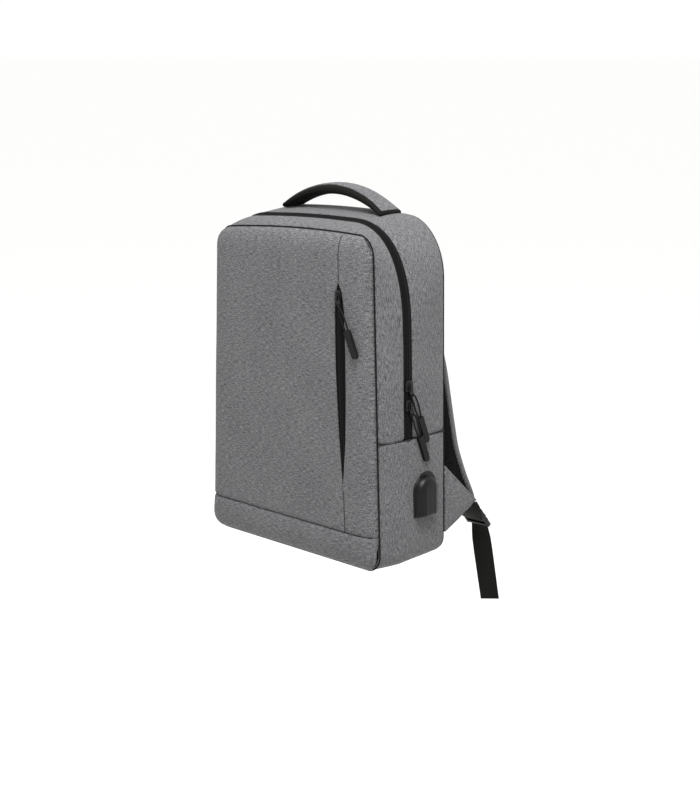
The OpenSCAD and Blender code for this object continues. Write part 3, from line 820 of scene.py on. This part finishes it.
# ---- back panel and its pads ----

back = {
    "thickness": 4.0, "padRise": 6.5, "padSwell": 1.5,
    "pads": {
        "backPadRight": (62, 243, 92, 210, "back_pad_right"), "backPadLeft": (-62, 243, 92, 210, "back_pad_left"),
        "lumbarPad": (0, 88, 216, 76, "lumbar_pad"),
    },
}


def backOutline(v):
    # height, half width and how far up the rounded top, at the share v of the back's outline
    y = body["depth"]
    radius, flat, width, height = body["footRadius"], flatWidth(y), cornerWidth(y), cornerHeight(y)
    cornerZ = roofHeight(y) - roofDrop(y) - height
    foot, top = turn["backFoot"], turn["backTop"]
    if v < foot:
        angle = math.radians(-90 + 90 * v / foot)
        return radius + radius * math.sin(angle), halfWidth(y, radius) - radius + radius * math.cos(angle), 0
    if v < top:
        z = mix(radius, cornerZ, (v - foot) / (top - foot))
        return z, halfWidth(y, z), 0
    angle = math.radians(90 * (v - top) / (1 - top))
    return cornerZ, flat + width * math.cos(angle), math.sin(angle)


def backPoint(u, v):
    z, edge, rise = backOutline(v)
    edge -= 0.8
    x = mix(-edge, edge, spread(u, 0.7))
    top = roofHeight(body["depth"]) - 0.6 - roofDrop(body["depth"]) * min(abs(x) / flatWidth(body["depth"]), 1) ** 2
    z = z + rise * (top - z)
    nearEdge = min(edge - abs(x), max(z, 0), top - z)
    return at(x, body["depth"] + back["thickness"] - valley(nearEdge, 3.4, 3.5) + ripple(x, 0, z, 60, 0.5, 2.0), z)


backMesh = layGrid(60, 90, backPoint, overFront)
layCloth("backPanel", backMesh, back["thickness"] - 0.6, ("mesh", "lining"), "pack_body", "black_mesh", "back_panel")


def padPoint(x0, z0, width, height):
    def place(u, v):
        a, b = spread(u, 0.8) * 2 - 1, spread(v, 0.8) * 2 - 1
        x = a * width / 2 * math.sqrt(1 - 0.16 * b * b)
        z = b * height / 2 * math.sqrt(1 - 0.16 * a * a)
        flank = ((1 - a ** 8) * (1 - b ** 8)) ** 0.5
        rise = back["padRise"] * flank + back["padSwell"] * (1 - a * a) * (1 - b * b)
        for channel in (-0.33, 0.33):  # sewn channels across the long way
            along = (b if height > width else a) - channel
            rise -= valley(along * max(width, height) / 2, 2.6, 4.0) * flank
        return at(x0 + x, body["depth"] + back["thickness"] - 1.2 + rise, z0 + z)
    return place


for name, (x0, z0, width, height, node) in back["pads"].items():
    pad = layGrid(40, 40 if height < width else 64, padPoint(x0, z0, width, height), overFront)
    faceAway(pad)
    closeHoles(pad)  # against the back panel
    piece = settle(makePiece(name, pad, "mesh"), "pack_body", "black_mesh", node)
    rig.padded(piece, fill=0.7)
print("back made")

# ---- main zip and pocket zip ----

zipBand = {"depth": 1.5, "bead": 1.3, "beadWidth": 1.6, "gap": 0.3, "tapeThickness": 0.8, "tuck": 2.5}


def zipPoint(sign):
    # one half of the zip, from the meeting line to under the gusset's edge
    def place(u, v):
        away = mix(zipBand["gap"], body["tape"] + zipBand["tuck"], v)
        y = zipMiddle(u) + sign * away
        lift = -zipBand["depth"] + zipBand["bead"] * math.exp(-((away - 1.5) / zipBand["beadWidth"]) ** 4)
        x, z = onSkin(archCurve, y, u, lift)
        return drape(x, y, z)
    return place


for name, sign, ridesOn, node in (
    ("mainZipFront", -1, "fold", "main_zip_front"), ("mainZipRear", 1, "pack_body", "main_zip_rear"),
):
    layCloth(name, layGrid(220, 14, zipPoint(sign)), zipBand["tapeThickness"], ("tape",), ridesOn, "zip_tape", node)


def pocketTapePoint(sign):
    def place(u, v):
        z = mix(front["openingLow"] - 4, front["openingHigh"] + 3, v)
        away = mix(0.25, 9.5, u)
        x = splitX(z) + sign * away
        lift = 3.0 - 1.2 * math.exp(-((away - 1.4) / 1.5) ** 4)
        return drape(x, frontDepth(x, z) + lift, z)
    return place


for name, sign, nodes in (
    ("pocketZipLeft", -1, ("pocket_zip_upper", "pocket_zip_lower")), ("pocketZipRight", 1, ()),
):
    tape = layGrid(10, 70, pocketTapePoint(sign))
    layCloth(name, tape, zipBand["tapeThickness"], ("tape",), "fold", "zip_tape", *nodes)


def zipTailPoint(u, v):
    # the tape's end, tapering into the dart below the side seam
    below = 36 * v
    half = mix(2.6, 0.3, v ** 0.7)
    y = body["zipMiddle"] - below * 0.05 + (u - 0.5) * 2 * half
    z = body["seamHeight"] + 1 - below
    return at(halfWidth(y, z) - 1.6 + 1.2 * v, y, z)


layCloth("zipTail", layGrid(6, 20, zipTailPoint), 1.2, ("tape",), "pack_body", "zip_tape")


def swung(swing):
    # a pull turned about its post
    post = Matrix.Translation((0, 0, -0.0025))
    return post @ Matrix.Rotation(math.radians(swing), 4, "X") @ post.inverted()


def sliderMatrix(z, swing):
    # x outwards from the main zip, y across it and z along it
    lean = math.atan(edgeLean * body["sideLean"])
    base = at(halfWidth(body["zipMiddle"], z) - 1.5, body["zipMiddle"], z)
    return Matrix.Translation(base) @ Matrix.Rotation(-lean, 4, "Y") @ swung(swing)


def pocketMatrix(swing):
    z = front["openingHigh"] - 16
    return (
        Matrix.Translation(at(splitX(z), -body["crown"], z)) @ Matrix.Rotation(-math.atan(edgeLean), 4, "Y")
        @ Matrix.Translation((0, 0.0017, 0)) @ Matrix.Rotation(math.radians(-90), 4, "Z") @ swung(swing)
    )


pull = {
    "cordThickness": 2.1,
    "route": [
        (5.6, 2.2, -44), (5.7, 2.8, -38), (6.0, 3.2, -32), (6.4, 3.1, -26), (6.7, 2.6, -21), (6.8, 1.9, -16),
        (6.6, 1.2, -13.2), (5.8, 0.5, -11.9), (4.2, 0, -11.5), (2.5, -0.4, -12), (2.3, -0.9, -13.9),
        (3.8, -1.8, -17), (5.0, -2.6, -21), (5.3, -3.2, -27), (5.4, -3.2, -33), (5.5, -2.8, -38), (5.6, -2.2, -44),
    ],
}


def softCurve(points, share):
    # a smooth line through points, share from 0 to 1
    spot = min(max(share, 0), 1) * (len(points) - 1)
    i = min(int(spot), len(points) - 2)
    t = spot - i
    a, b, c, d = (points[min(max(k, 0), len(points) - 1)] for k in (i - 1, i, i + 1, i + 2))
    return 0.5 * (2 * b + (c - a) * t + (2 * a - 5 * b + 4 * c - d) * t * t + (3 * b - a - 3 * c + d) * t ** 3)


def roundTube(points, radius, sides, steps):
    # a round cord or cable along a smooth line
    line = [softCurve(points, i / steps) for i in range(steps + 1)]
    frames = []
    side = None
    for i, point in enumerate(line):
        ahead = (line[min(i + 1, steps)] - line[max(i - 1, 0)]).normalized()
        side = ahead.orthogonal().normalized() if side is None else (side - ahead * side.dot(ahead)).normalized()
        frames.append((point, side, ahead.cross(side)))

    def place(u, v):
        point, sideways, upwards = frames[round(v * steps)]
        angle = 2 * math.pi * u
        return point + radius / 1000 * (sideways * math.cos(angle) + upwards * math.sin(angle))

    mesh = layGrid(sides, steps, place)
    closeTube(mesh)
    return mesh, line


# sizes of the thin dark tubes that paint the shadow in each seam's groove; sink and proud set how deep they sit in it
seamShadows = {"rim": 0.85, "side": 0.75, "thin": 0.45, "sink": 0.2, "proud": 0.1}


def rimLine(side, count=90):
    # the front rim from the side seam to the middle of the top, on one side
    spots = [archCurve(0, 0.5 * i / count if side > 0 else 1 - 0.5 * i / count) for i in range(count + 1)]
    return [drape(x, -seamShadows["sink"], z) for x, z in spots]


def footLine(side, count=40):
    spots = [footCurve(0, 1 - i / count) for i in range(count + 1)]
    middle = footCurve(0, 0)[0]
    spots += [(middle * (1 - i / 12), 0) for i in range(1, 13)]
    return [drape(x * side, -seamShadows["sink"], z) for x, z in spots]


def frontLine(start, end, count):
    # a seam on the front panel, from one (x, z) to another
    spots = [(mix(start[0], end[0], i / count), mix(start[1], end[1], i / count)) for i in range(count + 1)]
    return [drape(x, frontDepth(x, z) + seamDip(z, x) - seamShadows["proud"], z) for x, z in spots]


def splitLine(low, high, count):
    return frontLine((splitX(low), low), (splitX(high), high), count)


def sideLine(side, count=30):
    # the seam between the gussets and the lower side
    z = body["seamHeight"]
    depths = [body["depth"] * i / count for i in range(count + 1)]
    return [drape(side * (halfWidth(y, z) + 0.2), y, z) for y in depths]


bandEdge = halfWidth(0, body["bandHeight"]) - 2
# thin dark tubes along each seam: painted shadow of the seam grooves, darkest round the rim and foot
seamShadowLines = [
    ("rimSeamRight", rimLine(1), seamShadows["rim"], "fold"),
    ("rimSeamLeft", rimLine(-1), seamShadows["rim"], "fold"),
    ("footSeamRight", footLine(1), seamShadows["rim"], "pack_body"),
    ("footSeamLeft", footLine(-1), seamShadows["rim"], "pack_body"),
    (
        "bandSeam", frontLine((-bandEdge, body["bandHeight"]), (bandEdge, body["bandHeight"]), 60), seamShadows["thin"],
        "pack_body",
    ),
    ("splitSeamLower", splitLine(body["bandHeight"], front["openingLow"], 20), seamShadows["thin"], "pack_body"),
    ("splitSeamUpper", splitLine(front["openingHigh"], body["frontRoof"] - 4, 30), seamShadows["thin"], "front_cover"),
    ("sideSeamRight", sideLine(1), seamShadows["side"], "pack_body"),
    ("sideSeamLeft", sideLine(-1), seamShadows["side"], "pack_body"),
]
for name, line, radius, ridesOn in seamShadowLines:
    seamShadowMesh, _ = roundTube(line, radius, 8, 3 * len(line))
    seamShadowPiece = makePiece(name, seamShadowMesh, "seam" if radius == seamShadows["rim"] else "seamGrey")
    settle(seamShadowPiece, ridesOn, "lining")
print("seams closed")

for name, matrix, ridesOn, node in (
    ("upperPullCord", sliderMatrix(223, 22), "upper_pull", "upper_pull_cord"),
    ("lowerPullCord", sliderMatrix(199, 22), "lower_pull", "lower_pull_cord"),
    ("pocketPullCord", pocketMatrix(23), "pocket_pull", "pocket_pull_cord"),
):
    points = [matrix @ (Vector(p) / 1000) for p in pull["route"]]
    cordMesh, line = roundTube(points, pull["cordThickness"] / 2, 10, 64)
    cord = settle(makePiece(name, cordMesh, "cord"), ridesOn, "pull_cord", node)
    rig.cord(
        cord, exit=line[0], length=runLength(line)[-1], diameter=pull["cordThickness"] / 1000, far_end="object",
        stiffness="limp", lay="hanging", path=line, with_pieces=[node.replace("cord", "tip")],
    )
for name, key, width in (("slider", "zinc", 0.35), ("puller", "zinc", 0.25), ("pull_tip", "grip", 1.1)):
    for place in ("upper", "lower", "pocket"):
        dress(f"{place}_{name}", key, width, 3)
print("zips made")

# ---- handle ----

handle = {
    "reach": 83, "height": 449, "foot": 424, "depth": 85, "thickness": 15, "endThickness": 9.5, "half": 18,
    "endHalf": 21,
}


def roofAt(x, y):
    flat, power = flatWidth(y), across(y, 2, 2.6, 2)
    if abs(x) <= flat:
        return roofHeight(y) - roofDrop(y) * (x / flat) ** 2
    share = min((abs(x) - flat) / cornerWidth(y), 1)
    return roofHeight(y) - roofDrop(y) - cornerHeight(y) * (1 - (1 - share ** power) ** (1 / power))


def handlePoint(x, angle, inset):
    share = abs(x) / handle["reach"]
    middle = handle["height"] - (handle["height"] - handle["foot"]) * share ** 2
    thickness = mix(handle["thickness"], handle["endThickness"], share ** 4)
    half = mix(handle["half"], handle["endHalf"], share ** 3) - inset
    c, s = math.cos(angle), math.sin(angle)
    y = handle["depth"] + half * math.copysign(abs(c) ** 0.75, c)
    z = middle + (thickness / 2 - inset) * math.copysign(abs(s) ** 0.75, s)
    return at(x, y, max(z, roofAt(x, y) + 0.2 + inset))


def handleShell(start, end, inset, outer):
    def place(u, v):
        x = handle["reach"] * (2 * spread(v, 0.35) - 1)
        return handlePoint(x, math.radians(mix(start, end, u)), inset)
    return layGrid(outer, 90, place)


grip = handleShell(12, 372, 0.7, 40)
closeTube(grip)
gripPiece = makePiece("handleGrip", grip, "webbing")
underside = settle(gripPiece, "pack_body", "black_mesh", "handle_underside", "handle_core")
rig.padded(underside, fill=0.8)
cover = handleShell(50, 130, 0, 26)
faceAway(cover, at(0, 85, 420))
settle(thicken(makePiece("handleCover", cover, "cloth"), 1.6), "pack_body", "grey_fabric", "handle_cover")
print("handle made")

# ---- charging port ----

port = {
    "depth": 75, "height": 85,
    "rings": [
        (42.5, 52.1, 1.0), (42.2, 51.9, 2.2), (39.6, 50.2, 2.6), (38.8, 49.6, 4.6), (37, 48.2, 7.6),
        (33.5, 45.6, 10.4), (27.5, 40.6, 12.3), (19, 32.6, 13.2), (8, 21.6, 13.6), (0.3, 14.6, 13.7),
    ],
    "ridge": 0.7, "forward": 3.5, "drop": 2.2, "footRise": 0.35,
}


def portPlace(x, y, z):
    # x out from the wall, y towards the back and z up, from the port's middle
    lean = math.atan(edgeLean / 2)
    turn = math.atan(body["belly"] * (1 - body["backBelly"]) / (body["depth"] - zipBack))
    base = at(halfWidth(port["depth"], port["height"]), port["depth"], port["height"])
    place = Matrix.Translation(base) @ Matrix.Rotation(turn, 4, "Z") @ Matrix.Rotation(-lean, 4, "Y")
    return place @ Vector((x / 1000, y / 1000, z / 1000))


def hoodPoint(u, v):
    # an arch from one foot corner over to the other, in rings that rise towards the middle
    rings = port["rings"]
    spot = v * (len(rings) - 1)
    i = min(int(spot), len(rings) - 2)
    width, height, out = (mix(a, b, spot - i) for a, b in zip(rings[i], rings[i + 1]))
    foot = -rings[0][1] / 2 + port["footRise"] * spot
    leg = height / 2 - width / 2 - foot
    total = 2 * leg + math.pi * width / 2
    run = u * total
    if run < leg:
        y, z = width / 2, foot + run
    elif run > total - leg:
        y, z = -width / 2, foot + total - run
    else:
        angle = (run - leg) / (width / 2)
        y, z = width / 2 * math.cos(angle), foot + leg + width / 2 * math.sin(angle)
    out += port["ridge"] * math.exp(-(((abs(y) - 9) / 1.6) ** 2)) * (1 if z < 8 else math.exp(-((z - 8) / 5) ** 2))
    return portPlace(out, y - port["forward"], z - port["drop"])


hood = layGrid(64, 24, hoodPoint)
faceAway(hood, portPlace(-20, 0, 0))
bmesh.ops.remove_doubles(hood, verts=hood.verts, dist=3.5e-4)
settle(thicken(makePiece("portHood", hood, "rubber"), 1.5), "pack_body", "port_rubber", "port_hood")
for node, key, width in (
    ("port_flange", "rubber", 0.5), ("port_body", "abs", 0.4), ("port_socket", "steel", 0.15),
    ("charging_plug", "abs", 0.8),
):
    dress(node, key, width)

lead = {
    "thickness": 3.4,
    "route": [
        (140, 75, 72.3), (140, 75.4, 68), (139.4, 77.4, 63), (138, 81.4, 58.5), (136, 86.2, 56), (134, 90.4, 57),
        (132, 93, 62), (131, 93.2, 70), (130, 93, 80), (129.4, 93, 92), (129, 93, 104), (128.4, 92.6, 116),
        (128, 91.6, 128), (127.2, 89, 138), (125.6, 84, 145), (123.4, 76, 149), (121.6, 67, 149.4), (120.2, 59, 146),
        (119.4, 53.6, 140), (119, 50, 132), (119, 48, 124), (119, 47, 116), (119, 47, 108),
    ],
}
leadMesh, _ = roundTube([at(*p) for p in lead["route"]], lead["thickness"] / 2, 12, 110)
settle(makePiece("chargingLead", leadMesh, "jacket"), "pack_body", "lead", "charging_lead")
print("charging port made")

# ---- straps, wings, webbing and locks ----

strap = {
    "width": 62, "endWidth": 46, "thickness": 10.5,
    "route": [
        (56, 119.5, 397), (58, 123, 382), (63, 128, 358), (70, 132, 328), (79, 135.5, 293), (88, 139, 258),
        (96, 142, 223), (102, 144, 188), (107, 147, 153), (110, 152, 123), (112, 160, 100), (112.5, 169, 81),
        (113, 180, 61), (113, 187, 47),
    ],
}
webbing = {
    "width": 25, "thickness": 1.5,
    "lower": [
        (139.5, 176, 43, 80), (137, 183, 37, 66), (132.5, 191, 30, 42), (126, 199, 23.5, 20), (118.5, 207.5, 18, 4),
    ],
    "tailTop": (118, 225.3, 6.5), "tailLength": 106, "tailDrift": (6, 17),
    "tailTurn": [[0, 0], [0.25, 30], [1, 22]],
}
lock = {
    "place": (118, 214, 20), "tilt": 40, "width": 37, "height": 33, "thickness": 5.6, "side": 3.5,
    "bars": [(14, 4), (2.25, 3.5), (-5.75, 3.5), (-14, 4)],
    "loop": [
        (0, -2.9, 33), (0, -3.3, 24), (0, -3.4, 16), (0, -3.0, 11.6), (0, 0.6, 9.4), (0, 3.6, 11.6), (0, 3.8, 16),
        (0, 3.3, 24), (0, 2.9, 33),
    ],
}
lockPlace = Matrix.Translation(at(*lock["place"])) @ Matrix.Rotation(math.radians(lock["tilt"]), 4, "X")


def turned(direction, angle):
    # the level direction at that angle, made square to the route
    raw = Vector((math.cos(math.radians(angle)), math.sin(math.radians(angle)), 0))
    return (raw - direction * raw.dot(direction)).normalized()


def strapPoint(sign):
    points = [at(*p) for p in strap["route"]]

    def place(u, v):
        middle = softCurve(points, v)
        ahead = (softCurve(points, v + 0.01) - softCurve(points, v - 0.01)).normalized()
        side = turned(ahead, 0)
        out = side.cross(ahead)
        width = mix(strap["width"], strap["endWidth"], v) / 2
        nearEnd = min(v, 1 - v)
        thin = min(0.45 + nearEnd / 0.035 * 0.55, 1)
        angle = 2 * math.pi * u
        c, s = math.cos(angle), math.sin(angle)
        half = strap["thickness"] / 2
        off = half + half * thin * math.copysign(abs(s) ** 0.62, s)
        wide = abs(c) ** 0.7 * width
        off -= half * thin * 0.5 * s * math.exp(-((wide - width + 5) / 1.6) ** 2)  # the sewn channel by each edge
        return mirrored(middle + (side * math.copysign(wide, c) + out * off) / 1000, sign)
    return place


def ribbonPoint(route, sign):
    # route holds (x, y, z, turn)
    points = [at(*p[:3]) for p in route]
    turns = [[i / (len(route) - 1), p[3]] for i, p in enumerate(route)]

    def place(u, v):
        middle = softCurve(points, v)
        ahead = (softCurve(points, v + 0.02) - softCurve(points, v - 0.02)).normalized()
        side = turned(ahead, readRow(v, turns))
        return mirrored(middle + side * (u - 0.5) * webbing["width"] / 1000, sign)
    return place


wing = {
    "root": [(148.5, 117.1, 110), (149.8, 117.1, 25)], "tip": [(140, 191, 50), (145.5, 147, 34)], "thickness": 3.2,
}


def wingPoint(sign):
    def place(u, v):
        top = Vector(wing["root"][0]).lerp(Vector(wing["tip"][0]), u)
        foot = Vector(wing["root"][1]).lerp(Vector(wing["tip"][1]), u)
        spot = foot.lerp(top, v)
        bow = (1.6 * math.sin(math.pi * u) + ripple(*spot, 22, 0.8, 4.0)) * math.sin(math.pi * v)
        edge = min(v, 1 - v, 1 - u) * 60
        spot.x += bow - valley(edge - 3.5, 0.8, 1.1)
        return mirrored(at(*spot), sign)
    return place


def lockBars(sign):
    # three slots between four bars, in a frame with rounded edges
    mesh = bmesh.new()
    wide, high, thick, side = lock["width"], lock["height"], lock["thickness"], lock["side"]
    parts = [((x, 0, 0), (side, thick, high)) for x in (side / 2 - wide / 2, wide / 2 - side / 2)]
    parts += [((0, 0, z), (wide - 1, thick, barHeight)) for z, barHeight in lock["bars"]]
    for middle, size in parts:
        bmesh.ops.create_cube(mesh, size=1, matrix=Matrix.Translation(middle) @ Matrix.Diagonal((*size, 1)))
    bmesh.ops.bevel(
        mesh, geom=mesh.edges[:], offset=0.9, affect="EDGES", segments=3, profile=0.5, material=-1, clamp_overlap=True
    )
    for v in mesh.verts:  # the plate curves with the webbing
        v.co.y += 1.2 * (1 - (v.co.z / (high / 2)) ** 2)
    bmesh.ops.transform(mesh, matrix=lockPlace @ Matrix.Scale(0.001, 4), verts=mesh.verts)
    for v in mesh.verts:
        v.co.x *= sign
    for face in mesh.faces:
        face.smooth = True
    bmesh.ops.recalc_face_normals(mesh, faces=mesh.faces)
    return mesh


def lockLoopPoint(sign):
    # webbing from the strap's end round the lock's top bar and back
    points = [Vector(p) / 1000 for p in lock["loop"]]

    def place(u, v):
        spot = softCurve(points, v)
        return mirrored(lockPlace @ Vector((spot.x + (u - 0.5) * webbing["width"] / 1000, spot.y, spot.z)), sign)
    return place


for sign, side in ((1, "Right"), (-1, "Left")):
    end = side.lower()
    strapMesh = layGrid(44, 110, strapPoint(sign))
    closeTube(strapMesh)
    layer = strapMesh.loops.layers.uv["cloth"]
    around = max(loop[layer].uv.x for face in strapMesh.faces for loop in face.loops)
    for face in strapMesh.faces:
        share = sum(loop[layer].uv.x for loop in face.loops) / len(face.loops) / around
        face.material_index = 1 if 0.57 < share < 0.93 else 0  # mesh on the side against the back
        if len(face.loops) > 4:  # the strap's ends
            face.material_index = 2
    pad = settle(
        makePiece(f"strap{side}", strapMesh, "cloth", "mesh", "binding"), f"strap_{end}", "grey_fabric",
        f"strap_pad_{end}", f"strap_covers_{end}",
    )
    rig.padded(pad, fill=0.6)

    nodes = ("wings",) if sign == 1 else ()
    wingMesh = layGrid(30, 34, wingPoint(sign))
    layCloth(f"wing{side}", wingMesh, wing["thickness"], ("cloth",), "pack_body", "grey_fabric", *nodes)

    lowerMesh = layGrid(10, 40, ribbonPoint(webbing["lower"], sign))
    lowerPiece = thicken(makePiece(f"lowerWebbing{side}", lowerMesh, "webbing"), webbing["thickness"], 0, 0)
    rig.blend(
        lowerPiece, "pack_body", f"strap_{end}", start=at(sign * 139.5, 176, 43), end=at(sign * 118.5, 207.5, 18)
    )
    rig.slot(lowerPiece, "webbing")
    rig.replaces(lowerPiece, f"lower_webbing_{end}")

    lockPiece = makePiece(f"ladderLock{side}", lockBars(sign), "acetal")
    settle(lockPiece, f"strap_{end}", "buckle_plastic", f"ladder_lock_{end}")
    loopMesh = layGrid(8, 40, lockLoopPoint(sign))
    settle(thicken(makePiece(f"lockLoop{side}", loopMesh, "webbing"), 1.3, 0, 0), f"strap_{end}", "webbing")

    top, length, drift = webbing["tailTop"], webbing["tailLength"], webbing["tailDrift"]
    tailRoute = [
        (top[0] + drift[0] * s, top[1] + drift[1] * s, top[2] - length * s, readRow(s, webbing["tailTurn"]))
        for s in (0, 0.1, 0.2, 0.35, 0.5, 0.65, 0.8, 0.9, 1)
    ]
    tailRoute.insert(0, (top[0], top[1] - 3.2, top[2] + 6.5, 0))  # up into the lock's last slot
    tailMesh = layGrid(10, 60, ribbonPoint(tailRoute, sign))
    tailPiece = thicken(makePiece(f"strapTail{side}", tailMesh, "webbing"), webbing["thickness"], 0, 0)
    settle(tailPiece, f"strap_tail_{end}", "webbing", f"tail_{end}")
print("straps made")

# ---- inside ----

inside = {
    "rounding": 3, "tabWidth": 28,
    "tabRoute": [
        (0, 92.9, 250), (0, 92.9, 270), (0, 92.9, 288), (0, 95, 292.6), (0, 101, 293), (0, 106, 293), (0, 111, 293),
    ],
}

def openBox(name, low, high, missing, wall, node):
    # a sewn pocket: a box without the faces named in missing, as (axis, side) pairs
    mesh = bmesh.new()
    layer = mesh.loops.layers.uv.new("cloth")
    size = Vector(high) - Vector(low)
    middle = (Vector(high) + Vector(low)) / 2
    bmesh.ops.create_cube(mesh, size=1, matrix=Matrix.Translation(at(*middle)) @ Matrix.Diagonal((*(size / 1000), 1)))
    mesh.normal_update()
    gone = [f for f in mesh.faces if any(f.normal[axis] * sign > 0.9 for axis, sign in missing)]
    bmesh.ops.delete(mesh, geom=gone, context="FACES_ONLY")
    bmesh.ops.delete(mesh, geom=[e for e in mesh.edges if not e.link_faces], context="EDGES")
    inner = [e for e in mesh.edges if not e.is_boundary]
    bmesh.ops.bevel(
        mesh, geom=inner, offset=inside["rounding"] / 1000, affect="EDGES", segments=4, profile=0.5, material=-1
    )
    for face in mesh.faces:
        face.smooth = True
        for loop in face.loops:
            co = loop.vert.co
            loop[layer].uv = (co.x + co.y, co.z) if abs(face.normal.z) < 0.7 else (co.x, co.y)
    return settle(thicken(makePiece(name, mesh, "lining"), wall), "pack_body", "lining", node)


sleeve = openBox("laptopSleeve", (-122, 94, 9), (122, 111.4, 282), ((2, 1), (1, 1)), 3.5, "laptop_sleeve")
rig.padded(sleeve, fill=0.5)
openBox("batteryPocket", (108, 8, 32), (134.6, 84, 130), ((2, 1), (0, 1)), 2.5, "battery_pocket")


def tabPoint(u, v):
    spot = softCurve([Vector(p) for p in inside["tabRoute"]], v)
    return at(spot.x + (u - 0.5) * inside["tabWidth"], spot.y, spot.z)


tabMesh = layGrid(8, 40, tabPoint)
settle(thicken(makePiece("sleeveTab", tabMesh, "webbing"), 1.5, 0, 0), "pack_body", "lining", "sleeve_tab")


def clipPoint(z0):
    # half a ring round the lead, which leans in a little as it climbs
    middle = 132.8 - (z0 - 86) * 0.04

    def place(u, v):
        angle = math.pi * (0.5 + v)
        return at(middle + 4.6 * math.cos(angle), 93 + 3.2 * math.sin(angle), z0 - 4 + 8 * u)
    return place


for name, z0, nodes in (("leadClipLower", 86, ("lead_clips",)), ("leadClipUpper", 110, ())):
    clipMesh = layGrid(4, 16, clipPoint(z0))
    settle(thicken(makePiece(name, clipMesh, "lining"), 0.6, 0, 0), "pack_body", "lining", *nodes)


def pocketLiningPoint(u, v):
    z, edge, rise = panelRow(v, 60, False)
    edge -= 3.6
    x = mix(-edge, edge, u)
    top = body["frontRoof"] - 5 - roofDrop(0) * min(abs(x) / flatWidth(0), 1) ** 2
    return drape(x, 2.4 + ripple(x, 0, z, 60, 0.3), z + rise * (top - z))


liningMesh = layGrid(40, 60, pocketLiningPoint, overFront)
pocketLining = thicken(makePiece("pocketLining", liningMesh, "lining"), 0.6)
settle(pocketLining, "fold", "lining", "pocket_lining_upper", "pocket_lining_lower")
for node in ("base_board", "back_board"):
    dress(node, "board", 0.6)
print("inside made")

# ---- stage ----

studio = {"floorDrop": 0.62, "floorSize": 400}


def addLight(name, place, aim, size, power, tint="#ffffff"):
    data = bpy.data.lights.new(name, "AREA")
    data.size = size
    data.energy = power
    data.color = colour(tint)[:3]
    light = bpy.data.objects.new(name, data)
    light.location = place
    light.rotation_euler = (Vector(aim) - Vector(place)).to_track_quat("-Z", "Y").to_euler()
    bpy.context.scene.collection.objects.link(light)


floorMesh = bmesh.new()
bmesh.ops.create_grid(
    floorMesh, x_segments=1, y_segments=1, size=studio["floorSize"] / 2,
    matrix=Matrix.Translation((0, 0, cadBox[0].z - studio["floorDrop"])),
)
floorMaterial, _, floorSurface = startMaterial("paintedPlywood", Roughness=0.9)
floorSurface.inputs["Base Color"].default_value = colour("#fbfbfa")
finish["floor"] = floorMaterial
floor = makePiece("floor", floorMesh, "floor")
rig.stage(floor)

world = bpy.data.worlds.new("studio")
bpy.context.scene.world = world
world.use_nodes = True
world.node_tree.nodes["Background"].inputs["Color"].default_value = (1, 1, 1, 1)
world.node_tree.nodes["Background"].inputs["Strength"].default_value = 1.02
bpy.context.scene.view_settings.view_transform = "Standard"

addLight("key", (0.7, -0.55, 1.25), (0, 0, -0.1), 1.0, 56)
addLight("fill", (-1.6, -2.4, 0.8), (0, 0, -0.2), 2.0, 12)
print("stage made")

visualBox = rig.bounds()
with open("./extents.json", "w") as sizeFile:
    json.dump({"cad": [list(c) for c in cadBox], "visual": [list(c) for c in visualBox]}, sizeFile)
